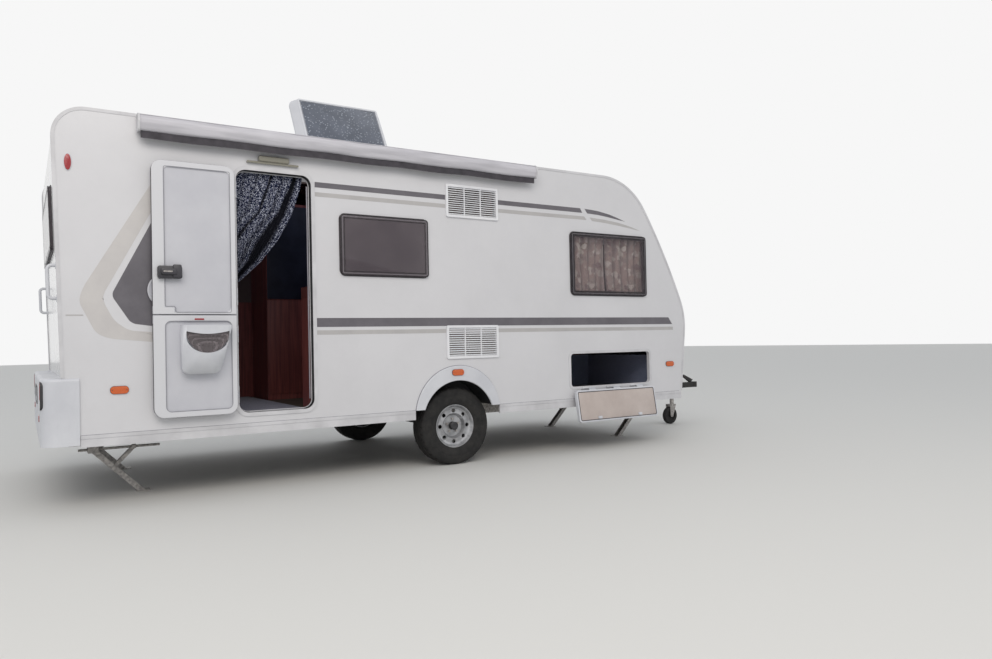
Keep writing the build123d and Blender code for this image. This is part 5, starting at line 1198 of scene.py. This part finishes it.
seal = merge(doorway_ring(-1.1495, LEAF_DEEPEST - 1 * MM, 2.4 * MM, 0.4 * MM),
             doorway_ring(LEAF_DEEPEST + 1 * MM, LEAF_DEEPEST + 5 * MM, 4 * MM))
bead = doorway_ring(LEAF_DEEPEST + 5.5 * MM, LEAF_DEEPEST + 11 * MM, 9 * MM)
mat_finish = pile("polypropylene_mat_blue_grey", "5C5D70", "83859A", 5)
carpet = pile("needled_carpet_blue_grey", "6C748A", "7E869C", 4)
boards = [
    # name, slot, finish, one corner, the opposite one, rounding and ease in millimetres, axis
    # the strip's grey on the far jamb is a painted reflection
    ("doorway_reflection_strip", "white_trim", reflection_strip_grey, (1.5925, -1.112, 0.625), (1.6005, -1.102, 2.200), 0, 1, "Y"),
    ("sill_tread", "white_trim", rail_finish, (1.150, -1.148, 0.5553), (1.540, -1.1135, 0.5582), 0, 0.5, "Y"),
    ("floor_mat", "mattress_cloth", mat_finish, (1.062, -1.102, 0.5125), (1.700, 1.100, 0.5215), 20, 2, "Z"),
    ("wall_board", "cabinet_board", cherry, (1.060, 1.103, 0.516), (1.880, 1.1165, 1.460), 4, 1, "Y"),
]
lining = merge(plate((3.985, -1.098, 0.5125), (5.105, -0.080, 0.5165), 4 * MM, "Z", 1 * MM),
               plate((3.985, -0.084, 0.5170), (5.100, -0.080, 0.850), 4 * MM, "Y", 1 * MM),
               plate((5.101, -1.098, 0.5170), (5.105, -0.080, 0.850), 4 * MM, "X", 1 * MM))
piece("doorway_seal", seal, "root", "black_plastic", door_seal)
piece("doorway_bead", bead, "root", "white_trim", rail_finish)
piece("locker_carpet", lining, "root", "curtain_navy", carpet)
for name, slot, finish, one, other, rounding, ease, along in boards:
    piece(name, plate(one, other, rounding * MM, along, ease * MM), "root", slot, finish)

for leaf, bottom, top in (("lower", 0.560, 1.236), ("upper", 1.244, 2.265)):
    gasket = ring((0.5205, -1.2125, bottom - 1.2 * MM), (1.0535, -1.1895, top + 1.2 * MM), 3 * MM, 68 * MM)
    piece(f"leaf_gasket_{leaf}", gasket, f"door_{leaf}", "window_seal", gasket_black)
# a grey strip in the gap between the leaves: painted shade
gap_shade_strip = plate((0.524, -1.214, 1.2365), (1.052, -1.190, 1.2405), ease=0.5 * MM)
piece("leaf_gap_shade_strip", gap_shade_strip, "door_lower", "window_seal", shade_line_grey)
groove([(0.594, 0.597), (1.019, 0.597), (1.019, 1.199), (0.594, 1.199)], "lower", 34 * MM)
groove([(0.594, 1.294), (0.659, 1.294), (0.659, 1.255), (1.019, 1.255), (1.019, 2.228), (0.594, 2.228)],
       "upper", 12 * MM)
print("doorway", round(DOOR_X1 - DOOR_X0, 3), "wide and", round(DOOR_Z1 - DOOR_Z0, 3), "high")

# %% [markdown]
# The rooflight is a white moulded frame with a blue-grey acrylic sheet bonded on top. The sheet
# lies inside a raised white rim, with a grey line of sealant between them. All three are drawn
# with the lid shut, where they are level, and then turned open about the hinge like the lid.
# Dew on the sheet shows as small pale cells, larger where a cloud of noise is high.

# %% Rooflight glazing
LIGHT_TOP = 2.695
LIGHT_OPEN = math.radians(60)
LIGHT_HINGE = at(0, -0.340, 2.597)
LIGHT_X0, LIGHT_X1, LIGHT_Y0, LIGHT_Y1 = 1.853, 2.603, -0.291, 0.282
DROP_MM = 22


def dewed(tree, place, tone):
    size = maths(tree, "MULTIPLY", draw(tree, place, clouds(14.0)), 0.47)
    on_drop = maths(tree, "LESS_THAN", draw(tree, place, cells(DROP_MM)), size)
    return mix(tree, on_drop, tone, srgb("9DA5B2"))


def on_lid(inset, width, z0, z1, corner):
    """A plate on the shut lid, or a frame if it has a width, turned open with it."""
    low, high = (LIGHT_X0 + inset, LIGHT_Y0 + inset, z0), (LIGHT_X1 - inset, LIGHT_Y1 - inset, z1)
    made = ring(low, high, width, corner, "Z", 1 * MM) if width else plate(low, high, corner, "Z", 1 * MM)
    bmesh.ops.rotate(made, cent=LIGHT_HINGE, matrix=Matrix.Rotation(LIGHT_OPEN, 3, "X"), verts=made.verts)
    return made


glazing = mottled("acrylic_blue_grey_dewed", ("555C6A", "666D7C"), clouds(6.0, 4.0),
                  (cells(DROP_MM), 0.8, 0.4), change=dewed, Roughness=0.12, IOR=1.49,
                  Transmission_Weight=0.3, Coat_Weight=0.3, Coat_Roughness=0.08)
sealant = rubber("sealant_grey", "84878F", "94979F", 0.6)
glass = on_lid(16 * MM, 0, LIGHT_TOP, LIGHT_TOP + 5 * MM, 16 * MM)
rim = on_lid(0, 17 * MM, LIGHT_TOP - 0.5 * MM, LIGHT_TOP + 7 * MM, 22 * MM)
bead = on_lid(20 * MM, 6 * MM, LIGHT_TOP + 4.6 * MM, LIGHT_TOP + 5.8 * MM, 14 * MM)
piece("rooflight_glass", glass, "rooflight", "rooflight_pane", glazing, "rooflight_pane")
piece("rooflight_rim", rim, "rooflight", "white_plastic", abs_white, "rooflight_pane")
piece("rooflight_sealant", bead, "rooflight", "window_seal", sealant)
print("rooflight glazing turned open by", round(math.degrees(LIGHT_OPEN)), "degrees")

# %% [markdown]
# A grey strip above the skirt and a grey bead round the wheel arch trim are painted shade: the
# shade of the groove there and the shade line along the trim's edge. The bead is a little
# rectangle spun through the arc of the trim.

# %% Skirt strips and arch beads
ARCH_MIDDLE_Z = 0.426
ARCH_TRIM_RADIUS = 0.399
ARCH_BEAD = 4 * MM
foot_turn = math.asin((0.480 - ARCH_MIDDLE_Z) / ARCH_TRIM_RADIUS)


def arch_bead(out):
    bm = bmesh.new()
    centre = at(AXLE_AHEAD, out * HALF_WIDTH, ARCH_MIDDLE_Z)
    corners = [(0, -1 * MM), (ARCH_BEAD, -1 * MM), (ARCH_BEAD, 3 * MM), (0, 6 * MM)]
    start = bm.faces.new([bm.verts.new(centre + Vector((ARCH_TRIM_RADIUS + wide, out * proud, 0)))
                          for wide, proud in corners])
    bmesh.ops.rotate(bm, cent=centre, matrix=Matrix.Rotation(-foot_turn, 3, "Y"), verts=bm.verts)
    bmesh.ops.spin(bm, geom=[start, *start.edges, *start.verts], cent=centre, axis=(0, -1, 0),
                   angle=math.pi - 2 * foot_turn, steps=48)
    return outward(bm)


STRIP_PROUD = 1.6 * MM
strips = merge(*(plate((x0, out * HALF_WIDTH, 0.4765), (x1, out * (HALF_WIDTH + STRIP_PROUD), 0.4825),
                       ease=0.4 * MM)
                 for out in SIDES for x0, x1 in ((0.105, 2.440), (3.240, 5.395))))
piece("wheel_arch_beads", both_sides(arch_bead), "root", "window_seal", shade_line_grey)
piece("skirt_strips", strips, "root", "window_seal", shade_line_grey)
print("arch bead runs through", round(180 - 2 * math.degrees(foot_turn)), "degrees")

# %% [markdown]
# The storage flap shows its inner side: a beige panel inside a black seal, inside a white rim.
# Seal and rim are frames drawn flat on the flap and laid in its plane by one matrix, whose
# columns are the directions along the caravan, out of the panel and down the flap.

# %% Flap panel, seal and rim
FLAP_TILT = math.radians(10)
FLAP_FACE = 0.043
flap_down = Vector((0, -math.sin(FLAP_TILT), -math.cos(FLAP_TILT)))
flap_out = Vector((0, -math.cos(FLAP_TILT), math.sin(FLAP_TILT)))
lay = Matrix((Vector((1, 0, 0)), flap_out, flap_down)).transposed().to_4x4()
lay.translation = at(0, -1.165, 0.570)
flap_parts = [
    # name, slot, finish, rear and front end, from the hinge, to, below and above the face in
    # millimetres, corner, ease, width of a frame
    ("panel", "flap_liner", abs_beige, 4.0445, 4.9665, 0.0425, 0.2935, -1, 0.9, 12 * MM, 0.4 * MM, 0),
    ("rim", "white_plastic", abs_white, 4.0245, 4.9865, 0.0225, 0.3135, -1, 1.4, 26 * MM, 0.5 * MM, 13 * MM),
    ("seal", "window_seal", gasket_black, 4.038, 4.973, 0.036, 0.300, -1, 2.6, 18 * MM, 0.5 * MM, 6 * MM),
]
for name, slot, finish, x0, x1, hinge, to, below, above, corner, ease, width in flap_parts:
    low, high = (x0, FLAP_FACE + below * MM, hinge), (x1, FLAP_FACE + above * MM, to)
    bm = ring(low, high, width, corner, ease=ease) if width else plate(low, high, corner, ease=ease)
    bmesh.ops.translate(bm, vec=-at(0, 0, 0), verts=bm.verts)
    bmesh.ops.transform(bm, matrix=lay, verts=bm.verts)
    piece(f"flap_{name}", outward(bm), "hatch", slot, finish)
print(len(flap_parts), "parts on the flap")

# %% [markdown]
# Five bolts hold each wheel, and a black cap closes the bearing. A bolt head is a cone with six
# sides and hardly any taper, laid on its side by a quarter turn.

# %% Wheel bolts and hub caps
BOLTS = 5
BOLT_CIRCLE = 0.056
BOLT_OUT, CAP_OUT = 1.0325, 1.060
BOLT_FOOT, BOLT_TOP, BOLT_HIGH = 10.5 * MM, 9.5 * MM, 13 * MM
CAP_RADIUS, CAP_HIGH = 33.5 * MM, 16 * MM
CAP_STEPS = [(3 * MM, 2 * MM), (8 * MM, 1.5 * MM), (3 * MM, -1 * MM)]
WHEEL_HIGH = 0.320
for side, out in (("right", -1), ("left", 1)):
    bolts, cap = bmesh.new(), bmesh.new()
    outwards = Matrix.Rotation(math.radians(-90 * out), 4, "X")
    for number in range(BOLTS):
        turn = 2 * math.pi * number / BOLTS
        spot = at(AXLE_AHEAD + BOLT_CIRCLE * math.sin(turn), out * BOLT_OUT,
                  WHEEL_HIGH + BOLT_CIRCLE * math.cos(turn))
        bmesh.ops.create_cone(bolts, cap_ends=True, segments=6, radius1=BOLT_FOOT, radius2=BOLT_TOP,
                              depth=BOLT_HIGH, matrix=Matrix.Translation(spot) @ outwards)
    middle = at(AXLE_AHEAD, out * CAP_OUT, WHEEL_HIGH)
    bmesh.ops.create_cone(cap, cap_ends=True, segments=32, radius1=CAP_RADIUS, radius2=CAP_RADIUS,
                          depth=CAP_HIGH, matrix=Matrix.Translation(middle) @ outwards)
    outward(cap)
    step_in(cap, face_towards(cap, "Y", out), CAP_STEPS)
    piece(f"wheel_bolts_{side}", outward(bolts), f"wheel_{side}", "galvanised", zinc)
    piece(f"hub_cap_{side}", cap, f"wheel_{side}", "black_plastic", abs_black)
print(2 * BOLTS, "wheel bolts")

# %% [markdown]
# Furniture fronts: low doors of cherry board and high ones of night-blue laminate stand a few
# millimetres proud of each unit, with even gaps between them, and every door has a round metal
# knob. A table says how many doors a unit has. The worktop is a brown laminate board that laps
# over the front.

# %% Furniture doors, knobs and worktop
DOOR_GAP = 5 * MM
FRONT_Y = 0.560
KNOB_HALF = 14 * MM
KNOB_IN, KNOB_UP = 45 * MM, 0.62
HIGH_FROM = 1.0
night_blue = powder_coat("laminate_night_blue", "262938", "323546", 0.45)
laminate = powder_coat("laminate_worktop_brown", "4A4042", "5A4E50", 0.4)
units = [
    # side, rear end, front end, foot, top, doors side by side, doors one above the other
    (-1, 1.720, 2.690, 0.560, 1.380, 3, 1), (-1, 2.700, 3.300, 0.560, 2.360, 1, 3),
    (1, 1.750, 2.350, 0.560, 2.360, 1, 2), (1, 2.360, 3.600, 0.560, 0.930, 3, 1),
]
fronts = []
for side, x0, x1, z0, z1, across, up in units:
    wide, high = (x1 - x0) / across, (z1 - z0) / up
    fronts += [(side, x0 + wide * column, z0 + high * row, wide, high)
               for column in range(across) for row in range(up)]


def front(side, x, z, wide, high):
    return plate((x + DOOR_GAP, side * (FRONT_Y - 6 * MM), z + DOOR_GAP),
                 (x + wide - DOOR_GAP, side * (FRONT_Y - 0.3 * MM), z + high - DOOR_GAP), 8 * MM,
                 ease=2 * MM, steps=3)


def knob(side, x, z, wide, high):
    x, z = x + wide - KNOB_IN, z + high * KNOB_UP
    return plate((x - KNOB_HALF, side * (FRONT_Y - 22 * MM), z - KNOB_HALF),
                 (x + KNOB_HALF, side * (FRONT_Y - 5.5 * MM), z + KNOB_HALF), KNOB_HALF - 0.1 * MM,
                 ease=2 * MM, steps=5)


low_fronts = merge(*(front(*place) for place in fronts if place[2] <= HIGH_FROM))
high_fronts = merge(*(front(*place) for place in fronts if place[2] > HIGH_FROM))
top = plate((1.738, -1.112, 1.4005), (2.697, -0.545, 1.4245), 12 * MM, "Z", 4 * MM)
end_panel = plate((1.7205, -1.110, 1.4005), (1.7365, -0.552, 1.488), 6 * MM, "X", 2 * MM)
piece("furniture_doors", low_fronts, "root", "cabinet_board", cherry)
piece("furniture_upper_doors", high_fronts, "root", "cabinet_board", night_blue)
piece("furniture_knobs", merge(*(knob(*place) for place in fronts)), "root", "galvanised", zinc)
piece("kitchen_worktop", top, "root", "cabinet_board", laminate)
piece("kitchen_end_panel", end_panel, "root", "cabinet_board", cherry)
print(len(fronts), "furniture doors")

# %% [markdown]
# A mattress is foam in a quilted cover. Foam presses the cover out everywhere, so the top crowns
# and the long sides pull in between the corners. Cloth pressure does exactly that: a smaller
# block is remeshed to even faces, swells for some frames with gravity off, and no point may
# move further than a cap. Then one subdivision smooths it.

# %% Mattresses
VOXEL = 24 * MM
SWELL_CAP = 18 * MM
SHRUNK = 10 * MM
FRAMES = 14
PRESSURE = 4
QUILT_MM = 85
BED_CORNER, BED_EASE = 55 * MM, 22 * MM


def evaluated(block):
    return bpy.data.meshes.new_from_object(block.evaluated_get(bpy.context.evaluated_depsgraph_get()))


def swell(name, low, high):
    """Grows a block by cloth pressure and returns its mesh as a bmesh."""
    start = plate(Vector(low) + Vector((SHRUNK, SHRUNK, 0)), Vector(high) - Vector((SHRUNK, SHRUNK, SHRUNK)),
                  BED_CORNER, "Z", BED_EASE, 6)
    mesh = bpy.data.meshes.new(name + "_start")
    outward(start).to_mesh(mesh)
    start.free()
    block = bpy.data.objects.new(name + "_start", mesh)
    scene.collection.objects.link(block)
    remesh = block.modifiers.new("remesh", "REMESH")
    remesh.mode = "VOXEL"
    remesh.voxel_size = VOXEL
    even = evaluated(block)
    block.modifiers.clear()
    block.data = even
    rest = [v.co.copy() for v in even.vertices]
    cloth = block.modifiers.new("cloth", "CLOTH")
    cloth.settings.use_pressure = True
    cloth.settings.uniform_pressure_force = PRESSURE
    cloth.settings.effector_weights.gravity = 0
    cloth.settings.quality = 5
    for frame_number in range(1, FRAMES + 1):
        scene.frame_set(frame_number)
    swollen = evaluated(block)
    floor_z = min(v.z for v in rest)
    for vert, before, after in zip(even.vertices, rest, swollen.vertices):
        move = after.co - before
        if move.length > SWELL_CAP:
            move *= SWELL_CAP / move.length
        vert.co = before + move
        vert.co.z = max(vert.co.z, floor_z)
    scene.frame_set(1)
    grown = bmesh.new()
    grown.from_mesh(even)
    bpy.data.objects.remove(block)
    bmesh.ops.smooth_vert(grown, verts=grown.verts, factor=0.4, use_axis_x=True, use_axis_y=True,
                          use_axis_z=True)
    return outward(grown)


# the quilted cover is lighter on its puffs and darker towards the seams round them: painted shade in the
# hollows of the quilting
ticking = mottled("cotton_ticking_quilted", ("C4BEB9", "A29C98"),
                  cells(QUILT_MM, feature="SMOOTH_F1", Randomness=0.15), (None, 6.0, 0.6), (0.35, 0.75),
                  Roughness=0.92, Sheen_Weight=0.3, Specular_IOR_Level=0.2)
beds = [
    # name, low corner, high corner
    ("mattress_front", (3.965, -1.108, 0.921), (5.104, 1.108, 1.040)),
    ("mattress_rear", (0.077, -1.108, 0.901), (0.783, 1.108, 1.020)),
]
for name, low, high in beds:
    mattress = piece(name, swell(name, low, high), "root", "mattress_cloth", ticking, "bed_mattresses",
                     smooth_angle=180)
    soften = mattress.modifiers.new("soften", "SUBSURF")
    soften.levels = 1
    soften.render_levels = 1
    print(name, "has", len(mattress.data.polygons), "faces before subdivision")

# %% [markdown]
# The tail of the caravan: a frame for a blank number plate, two red reflectors in the bumper,
# and two dark panels above the bumper at the corners.

# %% Rear panels, reflectors and plate frame
TRIM_REAR = BUMPER_REAR - 4.5 * MM
panels = both_sides(lambda out: plate((-1.6 * MM, out * 0.800, 1.120), (0, out * 0.985, 1.350), 20 * MM, "X",
                                      0.5 * MM))
reflectors = both_sides(lambda out: plate((TRIM_REAR, out * 0.700, 0.560), (BUMPER_REAR, out * 0.860, 0.600),
                                          6 * MM, "X", 1 * MM))
plate_frame = ring((TRIM_REAR, -0.270, 0.640), (BUMPER_REAR, 0.270, 0.770), 8 * MM, 14 * MM, "X", 1 * MM)
piece("rear_wall_panels", panels, "root", "black_plastic", grey_vinyl)
piece("number_plate_frame", plate_frame, "root", "black_plastic", abs_black)
piece("rear_reflectors", reflectors, "root", "red_lens", red_lens)
print("rear panels, reflectors and plate frame")
